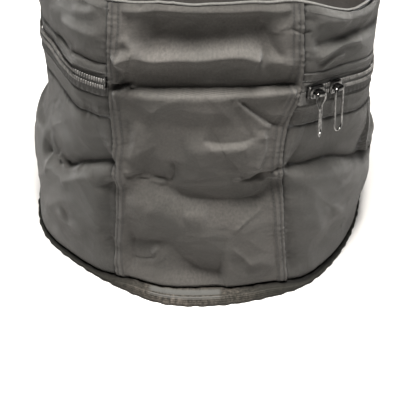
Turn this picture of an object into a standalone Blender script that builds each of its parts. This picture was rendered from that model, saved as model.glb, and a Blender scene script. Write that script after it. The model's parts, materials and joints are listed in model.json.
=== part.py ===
# Soft padded bag for a tom drum: round case, zipped lid on a fabric hinge, carry handle.
# Metres, +Z up. The origin is the middle of the base's underside and the hinge panel faces -Y.
# Angles round the bag run from the hinge panel, counter-clockwise as seen from above.

import math

import bmesh
import bpy
from mathutils import Matrix, Vector

# Driving dimensions of the case and the lid
CASE_RADIUS = 0.1680
BINDING_STAND = 0.0035
ZIP_DRAW_IN = 0.0025
ZIP_HEIGHT = 0.2015
LID_DEPTH = 0.0880
WALL_BULGE = 0.0050
LID_BULGE = 0.0035
BUCKLE_DEPTH = 0.0065
BUCKLE_FOOT_SHARE = 0.43
BUCKLE_SHARE = 0.58
BUCKLE_TOP_SHARE = 0.79
BUCKLE_CLIMB_SHARE = 0.17
BUCKLE_CREST_ANGLE = math.radians(34.0)
BUCKLE_FADE_START = math.radians(112.0)
BUCKLE_FADE_END = math.radians(138.0)
PANEL_HALF_ANGLE = math.radians(32.0)
PANEL_BOW_SHARE = 0.20
SLUMP_BACK_SHARE = 0.15
SLUMP_SIDE_SHARE = 0.03

# Cloth, padding and clearances
GAP = 0.0003
FABRIC = 0.0012
FOAM = 0.0060
LINING = 0.0007
BOARD = 0.0020
BINDING_HEIGHT = 0.0120
BINDING_THICKNESS = 0.0105
BINDING_ROUND = 0.0030
PIPING_RADIUS = 0.0023

# Zip
FLANGE_HEIGHT = 0.0370
TAPE = 0.0010
TAPE_REACH = 0.0180
TAPE_SHOWS = 0.0140
COIL_HALF_WIDTH = 0.0052
COIL_PROUD = 0.0025
COIL_GAP = 0.0014
FOLD_HALF_HEIGHT = 0.0042
HEM_HEIGHT = 0.0090
STOP_LENGTH = 0.0014
SOFT_END_ANGLE = math.radians(50.0)

# Sliders and pulls
NEAR_SLIDER_ANGLE = math.radians(36.0)
FAR_SLIDER_ANGLE = math.radians(43.4)
SLIDER_LENGTH = 0.0150
SLIDER_WIDTH = 0.0125
SLIDER_PLATE = 0.0014
SLIDER_PLAY = 0.0006
SLIDER_EDGE = 0.0005
WEB_LENGTH = 0.0044
WEB_THICKNESS = 0.0006
LUG_LENGTH = 0.0064
LUG_HEIGHT = 0.0056
LUG_REACH = 0.0063
PIN_STAND = 0.0038
WIRE_RADIUS = 0.00095
PULL_LENGTH = 0.0420
PULL_WIDTH = 0.0115
PIN_DEPTH = 0.0010
TWIST_START = 0.0040
TWIST_END = 0.0140
NEAR_PULL_TWIST = math.radians(-40.0)
PULL_LEAN = math.radians(4.0)

# Carry handle
HANDLE_HEIGHT = 0.0980
HANDLE_HALF_ANGLE = math.radians(24.0)
PATCH_ANGLE = math.radians(11.0)
WEBBING_WIDTH = 0.0380
WEBBING = 0.0020
HANDLE_BOW = 0.0240
GRIP_WALL = 0.0022
SOFT_STRAP_SHARE = 0.56
GRIP_SHARE = 0.48

# Facets
PANEL_STEPS = 8
SIDE_STEPS = 40
LID_STEPS = 6
BASE_STEPS = 48
STRAP_STEPS = 18
SOFT_STRAP_STEPS = 6
PATCH_STEPS = 4
ELBOW_STEPS = 3
TWIST_STEPS = 5
LOOP_STEPS = 8
HOLE_STEPS = 12
SEAM_ANGLE = math.radians(0.12)
SHORT_STEP_SHARE = 0.2
MERGE_DISTANCE = 0.00005
SHARP_ANGLE = math.radians(40.0)

COLOURS = {
    "shell_nylon": ((0.085, 0.080, 0.072), 0.72, 0.0),
    "base_fabric": ((0.070, 0.066, 0.058), 0.85, 0.0),
    "binding_tape": ((0.045, 0.044, 0.038), 0.70, 0.0),
    "padding_foam": ((0.230, 0.230, 0.225), 0.95, 0.0),
    "lining_cloth": ((0.030, 0.030, 0.031), 0.80, 0.0),
    "stiff_board": ((0.120, 0.105, 0.085), 0.70, 0.0),
    "zip_tape": ((0.050, 0.048, 0.044), 0.75, 0.0),
    "zip_coil": ((0.040, 0.040, 0.040), 0.40, 0.0),
    "slider_metal": ((0.060, 0.060, 0.062), 0.28, 1.0),
    "webbing": ((0.035, 0.035, 0.036), 0.65, 0.0),
}

# Radii of the binding at the foot and of the layers at the zip, from the outside in
FOOT_RADIUS = CASE_RADIUS + BINDING_STAND
ZIP_RADIUS = CASE_RADIUS - ZIP_DRAW_IN
FLANGE_INNER = ZIP_RADIUS - FABRIC
TAPE_OUTER = FLANGE_INNER - GAP
TAPE_INNER = TAPE_OUTER - TAPE
COIL_INNER = TAPE_OUTER + GAP
COIL_OUTER = COIL_INNER + COIL_PROUD
OUTER_PLATE_FACE = COIL_OUTER + SLIDER_PLAY
INNER_PLATE_FACE = TAPE_INNER - 2.0 * SLIDER_PLAY
INNER_PLATE_BACK = INNER_PLATE_FACE - SLIDER_PLATE
FOAM_TOP_RADIUS = INNER_PLATE_BACK - 2.0 * GAP
FOAM_FOOT_RADIUS = CASE_RADIUS - FABRIC - GAP
PIVOT_RADIUS = OUTER_PLATE_FACE + SLIDER_PLATE + PIN_STAND

# Heights of the layers in the base
BASE_BOARD_Z = FABRIC + GAP
BASE_FOAM_Z = BASE_BOARD_Z + BOARD + GAP
BASE_LINING_Z = BASE_FOAM_Z + FOAM + GAP
BASE_DISC_RADIUS = FOOT_RADIUS - BINDING_THICKNESS - GAP
WALL_FOOT_Z = BINDING_HEIGHT + GAP

# Heights of the layers in the lid, above the zip
PIPING_Z = LID_DEPTH - PIPING_RADIUS
LID_WALL_TOP = PIPING_Z - PIPING_RADIUS - GAP
LID_SKIN_Z = PIPING_Z - FABRIC
LID_TOP_FOAM_Z = LID_SKIN_Z - GAP - FOAM
LID_FOAM_TOP = LID_TOP_FOAM_Z - GAP
LID_TOP_LINING_Z = LID_TOP_FOAM_Z - GAP - LINING
FOAM_EDGE = 0.5 * SLIDER_WIDTH + 4.0 * GAP
TAPE_BEND = 0.5 * SLIDER_WIDTH + GAP

parts = bpy.data.collections.new("tom_drum_bag")
cutters = bpy.data.collections.new("cutters")


def clear_scene():
    for thing in list(bpy.data.objects):
        bpy.data.objects.remove(thing, do_unlink=True)
    bpy.context.scene.collection.children.link(parts)
    bpy.context.scene.collection.children.link(cutters)


def material(slot):
    found = bpy.data.materials.get(slot)
    if found:
        return found
    colour, roughness, metallic = COLOURS[slot]
    made = bpy.data.materials.new(slot)
    made.use_nodes = True
    shader = made.node_tree.nodes["Principled BSDF"]
    shader.inputs["Base Color"].default_value = (*colour, 1.0)
    shader.inputs["Roughness"].default_value = roughness
    shader.inputs["Metallic"].default_value = metallic
    made.diffuse_color = (*colour, 1.0)
    return made


def keep(thing, slot, parent=None):
    thing.data.materials.clear()
    thing.data.materials.append(material(slot))
    for owner in list(thing.users_collection):
        owner.objects.unlink(thing)
    parts.objects.link(thing)
    thing.parent = parent
    return thing


def pivot(name, matrix, parent=None):
    empty = bpy.data.objects.new(name, None)
    parts.objects.link(empty)
    empty.parent = parent
    empty.matrix_local = matrix
    return empty


# The zip and the lid lie in a plane that the slumped wall lets down towards the back.
def zip_plane():
    up = Vector((SLUMP_SIDE_SHARE, SLUMP_BACK_SHARE, 1.0)).normalized()
    across = Vector((1.0, 0.0, -SLUMP_SIDE_SHARE)).normalized()
    back = up.cross(across)
    frame = Matrix((across, back, up)).transposed().to_4x4()
    frame.translation = Vector((0.0, 0.0, ZIP_HEIGHT))
    return frame


ZIP_FRAME = zip_plane()
FLAT_EDGE_X = ZIP_RADIUS * math.sin(PANEL_HALF_ANGLE)
FLAT_EDGE_Y = ZIP_RADIUS * math.cos(PANEL_HALF_ANGLE)
PANEL_FRONT = FLAT_EDGE_Y + PANEL_BOW_SHARE * (ZIP_RADIUS - FLAT_EDGE_Y)


def shares(steps, start=0.0, end=1.0):
    return [start + (end - start) * i / steps for i in range(steps + 1)]


def panel_angles():
    return shares(PANEL_STEPS, SEAM_ANGLE - PANEL_HALF_ANGLE, PANEL_HALF_ANGLE - SEAM_ANGLE)


def side_angles(start=PANEL_HALF_ANGLE + SEAM_ANGLE, end=None):
    end = 2.0 * math.pi - start if end is None else end
    step = 2.0 * (math.pi - PANEL_HALF_ANGLE) / SIDE_STEPS
    inner = [PANEL_HALF_ANGLE + step * i for i in range(1, SIDE_STEPS)]
    margin = SHORT_STEP_SHARE * step
    return [start] + [a for a in inner if start + margin < a < end - margin] + [end]


def round_angles():
    front = shares(PANEL_STEPS, -PANEL_HALF_ANGLE, PANEL_HALF_ANGLE)
    sides = shares(SIDE_STEPS, PANEL_HALF_ANGLE, 2.0 * math.pi - PANEL_HALF_ANGLE)
    return front[:-1] + sides[:-1]


def outward(angle):
    return Vector((math.sin(angle), -math.cos(angle), 0.0))


def turned_from_front(angle):
    return abs((angle + math.pi) % (2.0 * math.pi) - math.pi)


# The ring of the zip: round, with a nearly flat front where the hinge panel is.
def ring_point(angle, inset, height):
    turned = (angle + math.pi) % (2.0 * math.pi) - math.pi
    if turned_from_front(angle) > PANEL_HALF_ANGLE + 0.5 * SEAM_ANGLE:
        spot = outward(angle) * (ZIP_RADIUS - inset)
        return Vector((spot.x, spot.y, height))
    across = ZIP_RADIUS * math.sin(turned)
    bow = PANEL_BOW_SHARE * (ZIP_RADIUS * math.cos(turned) - FLAT_EDGE_Y)
    drawn_in = inset * math.tan(0.5 * PANEL_HALF_ANGLE) / FLAT_EDGE_X
    return Vector((across * (1.0 - drawn_in), inset - FLAT_EDGE_Y - bow, height))


# Rows of the wall's sheets, as shares of the height of the wall seam. A row above it is the top.
SEAM_ROW = 1.0
TOP_ROW = 2.0
WALL_ROW_SHARES = [0.0, 0.16, 0.31, BUCKLE_FOOT_SHARE, BUCKLE_SHARE, BUCKLE_TOP_SHARE, 0.88, SEAM_ROW]


# The line of the buckle climbs from the middle of the hinge panel to a crest beside its seams.
def buckle_line(angle):
    turned = min(2.0, turned_from_front(angle) / BUCKLE_CREST_ANGLE)
    return BUCKLE_SHARE + BUCKLE_CLIMB_SHARE * math.sin(0.5 * math.pi * turned) ** 2


# Where a share of the wall's height comes to lie when the line at old_line is moved to new_line.
def shifted(share, old_line, new_line):
    if share < old_line:
        return share * new_line / old_line
    return 1.0 - (1.0 - share) * (1.0 - new_line) / (1.0 - old_line)


# The wall has buckled inwards half way up, all the way round but for the back.
def buckle(angle, rise):
    fade = (BUCKLE_FADE_END - turned_from_front(angle)) / (BUCKLE_FADE_END - BUCKLE_FADE_START)
    row = shifted(rise, buckle_line(angle), BUCKLE_SHARE)
    below = (row - BUCKLE_FOOT_SHARE) / (BUCKLE_SHARE - BUCKLE_FOOT_SHARE)
    above = (BUCKLE_TOP_SHARE - row) / (BUCKLE_TOP_SHARE - BUCKLE_SHARE)
    return BUCKLE_DEPTH * max(0.0, min(1.0, fade)) * max(0.0, min(below, above))


# A point of the slumped wall, from the round foot (share 0) to the zip plane (share 1).
def wall_spot(angle, foot_radius, zip_inset, share_of):
    foot = outward(angle) * foot_radius + Vector((0.0, 0.0, WALL_FOOT_Z))
    top = ZIP_FRAME @ ring_point(angle, zip_inset, 0.0)
    height = (top - foot).length
    seam_share = 1.0 - FLANGE_HEIGHT / height
    here = share_of(height, seam_share)
    rise = min(1.0, here / seam_share)
    swell = WALL_BULGE * math.sin(math.pi * rise) - buckle(angle, rise)
    return foot.lerp(top, here) + outward(angle) * swell


def wall_row(angle, foot_radius, zip_inset, row, below):
    def share_of(height, seam_share):
        top_share = 1.0 - below / height
        rise = shifted(row, BUCKLE_SHARE, buckle_line(angle))
        return top_share if row > SEAM_ROW else min(rise * seam_share, top_share)
    return wall_spot(angle, foot_radius, zip_inset, share_of)


def sheet(name, slot, angles, rows, spot, thickness, parent=None, closed=False, inward=True):
    columns = [[spot(angle, row) for row in rows] for angle in angles]
    mesh = bpy.data.meshes.new(name)
    shape = bmesh.new()
    grid = [[shape.verts.new(point) for point in column] for column in columns]
    count = len(grid) if closed else len(grid) - 1
    for i in range(count):
        here = grid[i]
        after = grid[(i + 1) % len(grid)]
        for j in range(len(rows) - 1):
            shape.faces.new((here[j], after[j], after[j + 1], here[j + 1]))
    shape.to_mesh(mesh)
    shape.free()
    thing = bpy.data.objects.new(name, mesh)
    keep(thing, slot, parent)
    solid = thing.modifiers.new("thickness", "SOLIDIFY")
    solid.thickness = thickness
    solid.offset = -1.0 if inward else 1.0
    solid.use_even_offset = True
    return thing


def flat_disc(name, slot, inset, low, thickness, parent):
    outline = bpy.data.curves.new(name, "CURVE")
    outline.dimensions = "2D"
    outline.fill_mode = "BOTH"
    outline.extrude = 0.5 * thickness
    spline = outline.splines.new("POLY")
    spots = [ring_point(angle, inset, 0.0) for angle in round_angles()]
    spline.points.add(len(spots) - 1)
    for point, spot in zip(spline.points, spots):
        point.co = (spot.x, spot.y, 0.0, 1.0)
    spline.use_cyclic_u = True
    thing = bpy.data.objects.new(name, outline)
    keep(thing, slot, parent)
    thing.location = (0.0, PANEL_FRONT, low + 0.5 * thickness)
    return thing


def lid_spot(inset):
    def spot(angle, height):
        rise = max(0.0, min(1.0, (height - HEM_HEIGHT) / (LID_WALL_TOP - HEM_HEIGHT)))
        swell = LID_BULGE * math.sin(math.pi * rise)
        return ring_point(angle, inset - swell, height) + Vector((0.0, PANEL_FRONT, 0.0))
    return spot


def zip_spot(radius, offset=0.0):
    def spot(angle, height):
        return outward(angle) * radius + Vector((0.0, offset, height))
    return spot


def turned_ring(name, slot, profile):
    mesh = bpy.data.meshes.new(name)
    shape = bmesh.new()
    loop = [shape.verts.new((radius, 0.0, height)) for radius, height in profile]
    for i in range(len(loop)):
        shape.edges.new((loop[i], loop[(i + 1) % len(loop)]))
    shape.to_mesh(mesh)
    shape.free()
    thing = bpy.data.objects.new(name, mesh)
    keep(thing, slot)
    screw = thing.modifiers.new("turn", "SCREW")
    screw.steps = BASE_STEPS
    screw.render_steps = BASE_STEPS
    screw.use_merge_vertices = True
    screw.merge_threshold = MERGE_DISTANCE
    screw.use_normal_calculate = True
    return thing


def base_disc(name, slot, radius, low, thickness):
    bpy.ops.mesh.primitive_cylinder_add(
        vertices=BASE_STEPS, radius=radius, depth=thickness, location=(0.0, 0.0, low + 0.5 * thickness)
    )
    thing = bpy.context.object
    thing.name = name
    thing.data.name = name
    return keep(thing, slot)


def make_base():
    base_disc("base_outer", "base_fabric", BASE_DISC_RADIUS, 0.0, FABRIC)
    base_disc("base_board", "stiff_board", BASE_DISC_RADIUS, BASE_BOARD_Z, BOARD)
    base_disc("base_foam", "padding_foam", BASE_DISC_RADIUS, BASE_FOAM_Z, FOAM)
    base_disc("base_lining", "lining_cloth", BASE_DISC_RADIUS, BASE_LINING_Z, LINING)
    inner = FOOT_RADIUS - BINDING_THICKNESS
    profile = [(inner, BINDING_HEIGHT), (FOOT_RADIUS - BINDING_ROUND, BINDING_HEIGHT)]
    profile += [(FOOT_RADIUS, BINDING_HEIGHT - BINDING_ROUND), (FOOT_RADIUS, BINDING_ROUND)]
    profile += [(FOOT_RADIUS - BINDING_ROUND, 0.0), (inner, 0.0)]
    turned_ring("base_binding", "binding_tape", profile)


def make_case_wall():
    sheet(
        "lower_wall_outer", "shell_nylon", side_angles(), WALL_ROW_SHARES,
        lambda a, row: wall_row(a, CASE_RADIUS, 0.0, row, FLANGE_HEIGHT + GAP), FABRIC,
    )
    all_rows = WALL_ROW_SHARES + [TOP_ROW]
    sheet(
        "hinge_panel_lower", "shell_nylon", panel_angles(), all_rows,
        lambda a, row: wall_row(a, CASE_RADIUS, 0.0, row, FOLD_HALF_HEIGHT + GAP), FABRIC,
    )
    foam_inset = ZIP_RADIUS - FOAM_TOP_RADIUS
    sheet(
        "lower_wall_foam", "padding_foam", round_angles(), all_rows,
        lambda a, row: wall_row(a, FOAM_FOOT_RADIUS, foam_inset, row, FOAM_EDGE), FOAM, closed=True,
    )
    layer = FOAM + 2.0 * GAP
    sheet(
        "lower_wall_lining", "lining_cloth", round_angles(), all_rows,
        lambda a, row: wall_row(a, FOAM_FOOT_RADIUS - layer, foam_inset + layer, row, FOAM_EDGE),
        LINING, closed=True,
    )
    sheet(
        "lower_zip_flange", "shell_nylon", side_angles(), [FLANGE_HEIGHT - GAP, TAPE_SHOWS],
        lambda a, below: wall_row(a, CASE_RADIUS, 0.0, TOP_ROW, below), FABRIC,
    )


# The lower tape runs square to the zip under the coil, then follows the wall.
def lower_tape_spot(angle, height):
    if height > -TAPE_REACH:
        return zip_spot(TAPE_OUTER)(angle, height)
    inset = FABRIC + 3.0 * GAP
    wall = wall_row(angle, CASE_RADIUS - inset, inset, TOP_ROW, -height)
    return ZIP_FRAME.inverted() @ wall


# One half of the zip: a woven tape and the coil sewn to its outer face.
def make_zip_half(prefix, side, angles, parent, tails=""):
    coil_rows = sorted([side * 0.5 * COIL_GAP, side * COIL_HALF_WIDTH])
    if side < 0.0:
        offset = 0.0
        tape_rows = [-TAPE_REACH, -TAPE_BEND, -0.5 * COIL_GAP]
        tape_spot = lower_tape_spot
    else:
        offset = PANEL_FRONT
        tape_rows = [0.5 * COIL_GAP, TAPE_REACH]
        tape_spot = zip_spot(TAPE_OUTER, offset)
    sheet(prefix + "_zip_tape" + tails, "zip_tape", angles, tape_rows, tape_spot, TAPE, parent)
    sheet(
        prefix + "_zip_coil" + tails, "zip_coil", angles, coil_rows,
        zip_spot(COIL_OUTER, offset), COIL_PROUD, parent,
    )


def make_zip(upper_frame, lid_pivot):
    stop_angle = STOP_LENGTH / ZIP_RADIUS
    start = PANEL_HALF_ANGLE + 3.0 * SEAM_ANGLE
    coil_start = start + stop_angle + SEAM_ANGLE
    soft_start = SOFT_END_ANGLE + SEAM_ANGLE
    full_turn = 2.0 * math.pi
    make_zip_half("lower", -1.0, side_angles(coil_start), upper_frame)
    make_zip_half("upper", 1.0, side_angles(soft_start), lid_pivot)
    right = side_angles(coil_start, SOFT_END_ANGLE)
    make_zip_half("upper", 1.0, right, lid_pivot, "_end_right")
    left = side_angles(full_turn - SOFT_END_ANGLE, full_turn - coil_start)
    make_zip_half("upper", 1.0, left, lid_pivot, "_end_left")
    stop_rows = [-COIL_HALF_WIDTH, COIL_HALF_WIDTH]
    stop_right = [start, start + stop_angle]
    stop_left = [full_turn - start - stop_angle, full_turn - start]
    for name, angles in (("zip_stop_right", stop_right), ("zip_stop_left", stop_left)):
        sheet(
            name, "slider_metal", angles, stop_rows, zip_spot(COIL_OUTER), COIL_PROUD, upper_frame,
        )


def make_lid(lid_pivot):
    wall_rows = shares(LID_STEPS, HEM_HEIGHT, LID_WALL_TOP)
    sheet(
        "lid_wall_outer", "shell_nylon", side_angles(), wall_rows, lid_spot(0.0), FABRIC, lid_pivot,
    )
    panel_rows = shares(LID_STEPS, FOLD_HALF_HEIGHT + GAP, LID_WALL_TOP)
    sheet(
        "hinge_panel_upper", "shell_nylon", panel_angles(), panel_rows, lid_spot(0.0), FABRIC,
        lid_pivot,
    )
    foam_inset = ZIP_RADIUS - FOAM_TOP_RADIUS
    foam_rows = shares(LID_STEPS, FOAM_EDGE, LID_FOAM_TOP)
    sheet(
        "lid_wall_foam", "padding_foam", round_angles(), foam_rows, lid_spot(foam_inset), FOAM,
        lid_pivot, closed=True,
    )
    lining_inset = foam_inset + FOAM + 2.0 * GAP
    sheet(
        "lid_wall_lining", "lining_cloth", round_angles(), foam_rows, lid_spot(lining_inset),
        LINING, lid_pivot, closed=True,
    )
    disc_inset = 2.0 * PIPING_RADIUS + 2.0 * GAP
    flat_disc("lid_top_outer", "shell_nylon", disc_inset, LID_SKIN_Z, FABRIC, lid_pivot)
    flat_disc("lid_top_foam", "padding_foam", disc_inset, LID_TOP_FOAM_Z, FOAM, lid_pivot)
    inner_inset = lining_inset + LINING + 2.0 * GAP
    flat_disc("lid_top_lining", "lining_cloth", inner_inset, LID_TOP_LINING_Z, LINING, lid_pivot)
    make_piping(lid_pivot)


def make_piping(lid_pivot):
    path = bpy.data.curves.new("lid_rim_piping", "CURVE")
    path.dimensions = "3D"
    path.bevel_depth = PIPING_RADIUS
    path.bevel_resolution = 1
    spline = path.splines.new("POLY")
    offset = Vector((0.0, PANEL_FRONT, 0.0))
    spots = [ring_point(angle, PIPING_RADIUS, PIPING_Z) + offset for angle in round_angles()]
    spline.points.add(len(spots) - 1)
    for point, spot in zip(spline.points, spots):
        point.co = (*spot, 1.0)
    spline.use_cyclic_u = True
    keep(bpy.data.objects.new("lid_rim_piping", path), "binding_tape", lid_pivot)


# The strip of the hinge panel that folds when the lid opens.
def make_fold(upper_frame):
    rows = [-FOLD_HALF_HEIGHT, FOLD_HALF_HEIGHT]
    sheet(
        "hinge_fold", "shell_nylon", panel_angles(), rows,
        lambda a, h: ring_point(a, 0.0, h), FABRIC, upper_frame,
    )


def block(name, size, centre):
    bpy.ops.mesh.primitive_cube_add(size=1.0, location=centre)
    thing = bpy.context.object
    thing.name = name
    thing.data.transform(Matrix.Diagonal((*size, 1.0)))
    return thing


def join_to(thing, other, operation):
    cut = thing.modifiers.new(operation.lower(), "BOOLEAN")
    cut.operation = operation
    cut.object = other
    for owner in list(other.users_collection):
        owner.objects.unlink(other)
    cutters.objects.link(other)
    other.hide_render = True
    other.display_type = "WIRE"


# A slider: a plate outside the coil, one behind the tapes, a web between the coil halves,
# and a lug whose side holes hold the bent ends of the wire pull.
def make_slider(name, angle, upper_frame, twist):
    frame = pivot(name + "_pivot", Matrix.Rotation(angle, 4, "Z"), upper_frame)
    outer_back = OUTER_PLATE_FACE + SLIDER_PLATE
    body = block(
        "slider_" + name, (SLIDER_LENGTH, SLIDER_PLATE, SLIDER_WIDTH),
        (0.0, -0.5 * (OUTER_PLATE_FACE + outer_back), 0.0),
    )
    round_edges = body.modifiers.new("edges", "BEVEL")
    round_edges.width = SLIDER_EDGE
    round_edges.segments = 2
    keep(body, "slider_metal", frame)
    inner = block(
        name + "_inner_plate", (SLIDER_LENGTH, SLIDER_PLATE, SLIDER_WIDTH),
        (0.0, -0.5 * (INNER_PLATE_FACE + INNER_PLATE_BACK), 0.0),
    )
    sunk = 0.5 * SLIDER_PLATE
    web_reach = OUTER_PLATE_FACE - INNER_PLATE_FACE + 2.0 * sunk
    web = block(
        name + "_web", (WEB_LENGTH, web_reach, WEB_THICKNESS),
        (0.0, -0.5 * (OUTER_PLATE_FACE + INNER_PLATE_FACE), 0.0),
    )
    lug = block(
        name + "_lug", (LUG_LENGTH, LUG_REACH + sunk, LUG_HEIGHT),
        (0.0, -(outer_back + 0.5 * (LUG_REACH - sunk)), 0.0),
    )
    for piece in (inner, web, lug):
        piece.parent = frame
        join_to(body, piece, "UNION")
    hole_reach = PIN_DEPTH + GAP
    for side in (-1.0, 1.0):
        bpy.ops.mesh.primitive_cylinder_add(
            vertices=HOLE_STEPS, radius=WIRE_RADIUS + GAP, depth=2.0 * hole_reach,
            rotation=(0.0, 0.5 * math.pi, 0.0),
            location=(side * 0.5 * LUG_LENGTH, -PIVOT_RADIUS, 0.0),
        )
        hole = bpy.context.object
        hole.name = name + "_pin_hole"
        hole.parent = frame
        join_to(body, hole, "DIFFERENCE")
    # The wire rubs on the lug, so the pull stands a little off the wall.
    place = Matrix.Translation((0.0, -PIVOT_RADIUS, 0.0)) @ Matrix.Rotation(-PULL_LEAN, 4, "X")
    make_pull("pull_" + name, pivot("pull_" + name + "_pivot", place, frame), twist)


# A pull of bent wire: two pins turned into the lug, two legs and a rounded end.
def make_pull(name, frame, twist):
    half = 0.5 * PULL_WIDTH - WIRE_RADIUS
    pin = 0.5 * LUG_LENGTH - PIN_DEPTH
    elbow = [
        (half - WIRE_RADIUS * (1.0 - math.sin(turn)), -WIRE_RADIUS * (1.0 - math.cos(turn)))
        for turn in (0.5 * math.pi * share for share in shares(ELBOW_STEPS))
    ]
    straight = PULL_LENGTH - WIRE_RADIUS - half
    legs = [(half, -drop) for drop in shares(TWIST_STEPS, TWIST_START, TWIST_END)]
    side = [(pin, 0.0)] + elbow + legs + [(half, -straight)]
    bend = []
    for share in shares(LOOP_STEPS)[1:-1]:
        turn = math.pi * share
        bend.append((half * math.cos(turn), -straight - half * math.sin(turn)))
    route = side + bend + [(-x, z) for x, z in reversed(side)]
    path = bpy.data.curves.new(name, "CURVE")
    path.dimensions = "3D"
    path.bevel_depth = WIRE_RADIUS
    path.bevel_resolution = 2
    path.use_fill_caps = True
    spline = path.splines.new("POLY")
    spline.points.add(len(route) - 1)
    for point, (across, height) in zip(spline.points, route):
        done = (-height - TWIST_START) / (TWIST_END - TWIST_START)
        turn = twist * max(0.0, min(1.0, done))
        point.co = (across * math.cos(turn), -across * math.sin(turn), height, 1.0)
    keep(bpy.data.objects.new(name, path), "slider_metal", frame)


# Carry handle: webbing sewn to the back wall at both ends, bowed out under a padded sleeve.
def handle_wall(angle, height):
    foot = WALL_FOOT_Z
    top = (ZIP_FRAME @ ring_point(angle, 0.0, 0.0)).z
    return wall_spot(angle, CASE_RADIUS, 0.0, lambda *_: (height - foot) / (top - foot))


def handle_bow(angle):
    along = (angle - math.pi) / HANDLE_HALF_ANGLE
    return HANDLE_BOW * (1.0 - min(1.0, along * along)) ** 2


def strap_spot(proud, frame=None):
    origin = frame.location if frame else Vector()

    def spot(angle, height):
        wall = handle_wall(angle, HANDLE_HEIGHT + height)
        return wall + outward(angle) * (handle_bow(angle) + proud) - origin
    return spot


def make_handle():
    axis_y = handle_wall(math.pi - HANDLE_HALF_ANGLE, HANDLE_HEIGHT).y
    frame = pivot("handle_pivot", Matrix.Translation((0.0, axis_y, HANDLE_HEIGHT)))
    half = 0.5 * WEBBING_WIDTH
    stand = 2.0 * GAP + WEBBING
    for side, word in ((-1.0, "right"), (1.0, "left")):
        near = math.pi + side * (HANDLE_HALF_ANGLE + SEAM_ANGLE)
        far = math.pi + side * (HANDLE_HALF_ANGLE + PATCH_ANGLE)
        angles = sorted(shares(PATCH_STEPS, near, far))
        sheet(
            "handle_patch_" + word, "webbing", angles, shares(PATCH_STEPS, -half, half),
            lambda a, h: handle_wall(a, HANDLE_HEIGHT + h) + outward(a) * stand, WEBBING,
        )
        inner = math.pi + side * HANDLE_HALF_ANGLE * SOFT_STRAP_SHARE
        outer = math.pi + side * (HANDLE_HALF_ANGLE - SEAM_ANGLE)
        angles = sorted(shares(SOFT_STRAP_STEPS, inner, outer))
        sheet(
            "handle_strap_end_" + word, "webbing", angles, [-half, half],
            strap_spot(stand), WEBBING,
        )
    reach = HANDLE_HALF_ANGLE * SOFT_STRAP_SHARE - SEAM_ANGLE
    angles = shares(STRAP_STEPS, math.pi - reach, math.pi + reach)
    sheet(
        "handle_strap", "webbing", angles, [-half, half], strap_spot(stand, frame), WEBBING, frame,
    )
    make_grip(frame, half, stand)


# The padded sleeve round the strap: a loft of rectangular rings, each with the strap's slot.
def make_grip(frame, half, stand):
    reach = HANDLE_HALF_ANGLE * GRIP_SHARE
    slot_out = stand + 2.0 * GAP
    slot_in = stand - WEBBING - 2.0 * GAP
    slot_tall = half + GAP
    mesh = bpy.data.meshes.new("handle_grip")
    shape = bmesh.new()
    sections = []
    for angle in shares(STRAP_STEPS, math.pi - reach, math.pi + reach):
        loops = []
        for wall in (GRIP_WALL, 0.0):
            tall = slot_tall + wall
            outer_side = strap_spot(slot_out + wall, frame)
            inner_side = strap_spot(slot_in - wall, frame)
            corners = [outer_side(angle, -tall), outer_side(angle, tall)]
            corners += [inner_side(angle, tall), inner_side(angle, -tall)]
            loops.append([shape.verts.new(corner) for corner in corners])
        sections.append(loops)
    for here, after in zip(sections, sections[1:]):
        for loop in range(2):
            for k in range(4):
                m = (k + 1) % 4
                shape.faces.new((here[loop][k], after[loop][k], after[loop][m], here[loop][m]))
    for outer, inner in (sections[0], sections[-1]):
        for k in range(4):
            m = (k + 1) % 4
            shape.faces.new((outer[k], outer[m], inner[m], inner[k]))
    bmesh.ops.recalc_face_normals(shape, faces=shape.faces)
    shape.to_mesh(mesh)
    shape.free()
    keep(bpy.data.objects.new("handle_grip", mesh), "webbing", frame)


def shade_round(things):
    for thing in things:
        if thing.type == "MESH":
            thing.data.shade_smooth()
            thing.data.set_sharp_from_angle(angle=SHARP_ANGLE)


def main():
    clear_scene()
    upper_frame = pivot("zip_frame", ZIP_FRAME)
    lid_pivot = pivot("lid_pivot", Matrix.Translation((0.0, -PANEL_FRONT, 0.0)), upper_frame)
    make_base()
    make_case_wall()
    make_zip(upper_frame, lid_pivot)
    make_lid(lid_pivot)
    make_fold(upper_frame)
    make_slider("near", NEAR_SLIDER_ANGLE, upper_frame, NEAR_PULL_TWIST)
    make_slider("far", FAR_SLIDER_ANGLE, upper_frame, 0.0)
    make_handle()
    shade_round(list(parts.objects))


main()
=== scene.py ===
import json
import math

import bmesh
import bpy
import numpy as np
from mathutils import Matrix, Vector
from mathutils.bvhtree import BVHTree
from mathutils.geometry import barycentric_transform


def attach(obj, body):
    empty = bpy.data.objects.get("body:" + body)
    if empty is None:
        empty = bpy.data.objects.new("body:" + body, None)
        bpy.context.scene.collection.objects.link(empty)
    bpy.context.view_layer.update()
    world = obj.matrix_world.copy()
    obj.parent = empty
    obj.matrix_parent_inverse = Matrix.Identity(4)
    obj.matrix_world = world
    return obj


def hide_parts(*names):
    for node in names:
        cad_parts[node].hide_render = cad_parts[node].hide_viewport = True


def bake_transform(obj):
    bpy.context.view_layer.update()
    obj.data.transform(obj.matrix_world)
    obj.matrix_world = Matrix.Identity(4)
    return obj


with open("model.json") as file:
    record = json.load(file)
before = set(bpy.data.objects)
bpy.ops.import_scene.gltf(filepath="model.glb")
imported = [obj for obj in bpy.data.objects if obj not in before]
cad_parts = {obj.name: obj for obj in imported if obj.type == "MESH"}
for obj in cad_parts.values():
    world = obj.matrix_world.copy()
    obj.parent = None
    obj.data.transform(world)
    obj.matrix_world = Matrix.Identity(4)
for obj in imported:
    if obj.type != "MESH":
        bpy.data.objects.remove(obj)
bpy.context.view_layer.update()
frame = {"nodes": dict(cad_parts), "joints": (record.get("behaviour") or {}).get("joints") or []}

MM = 0.001
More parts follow.
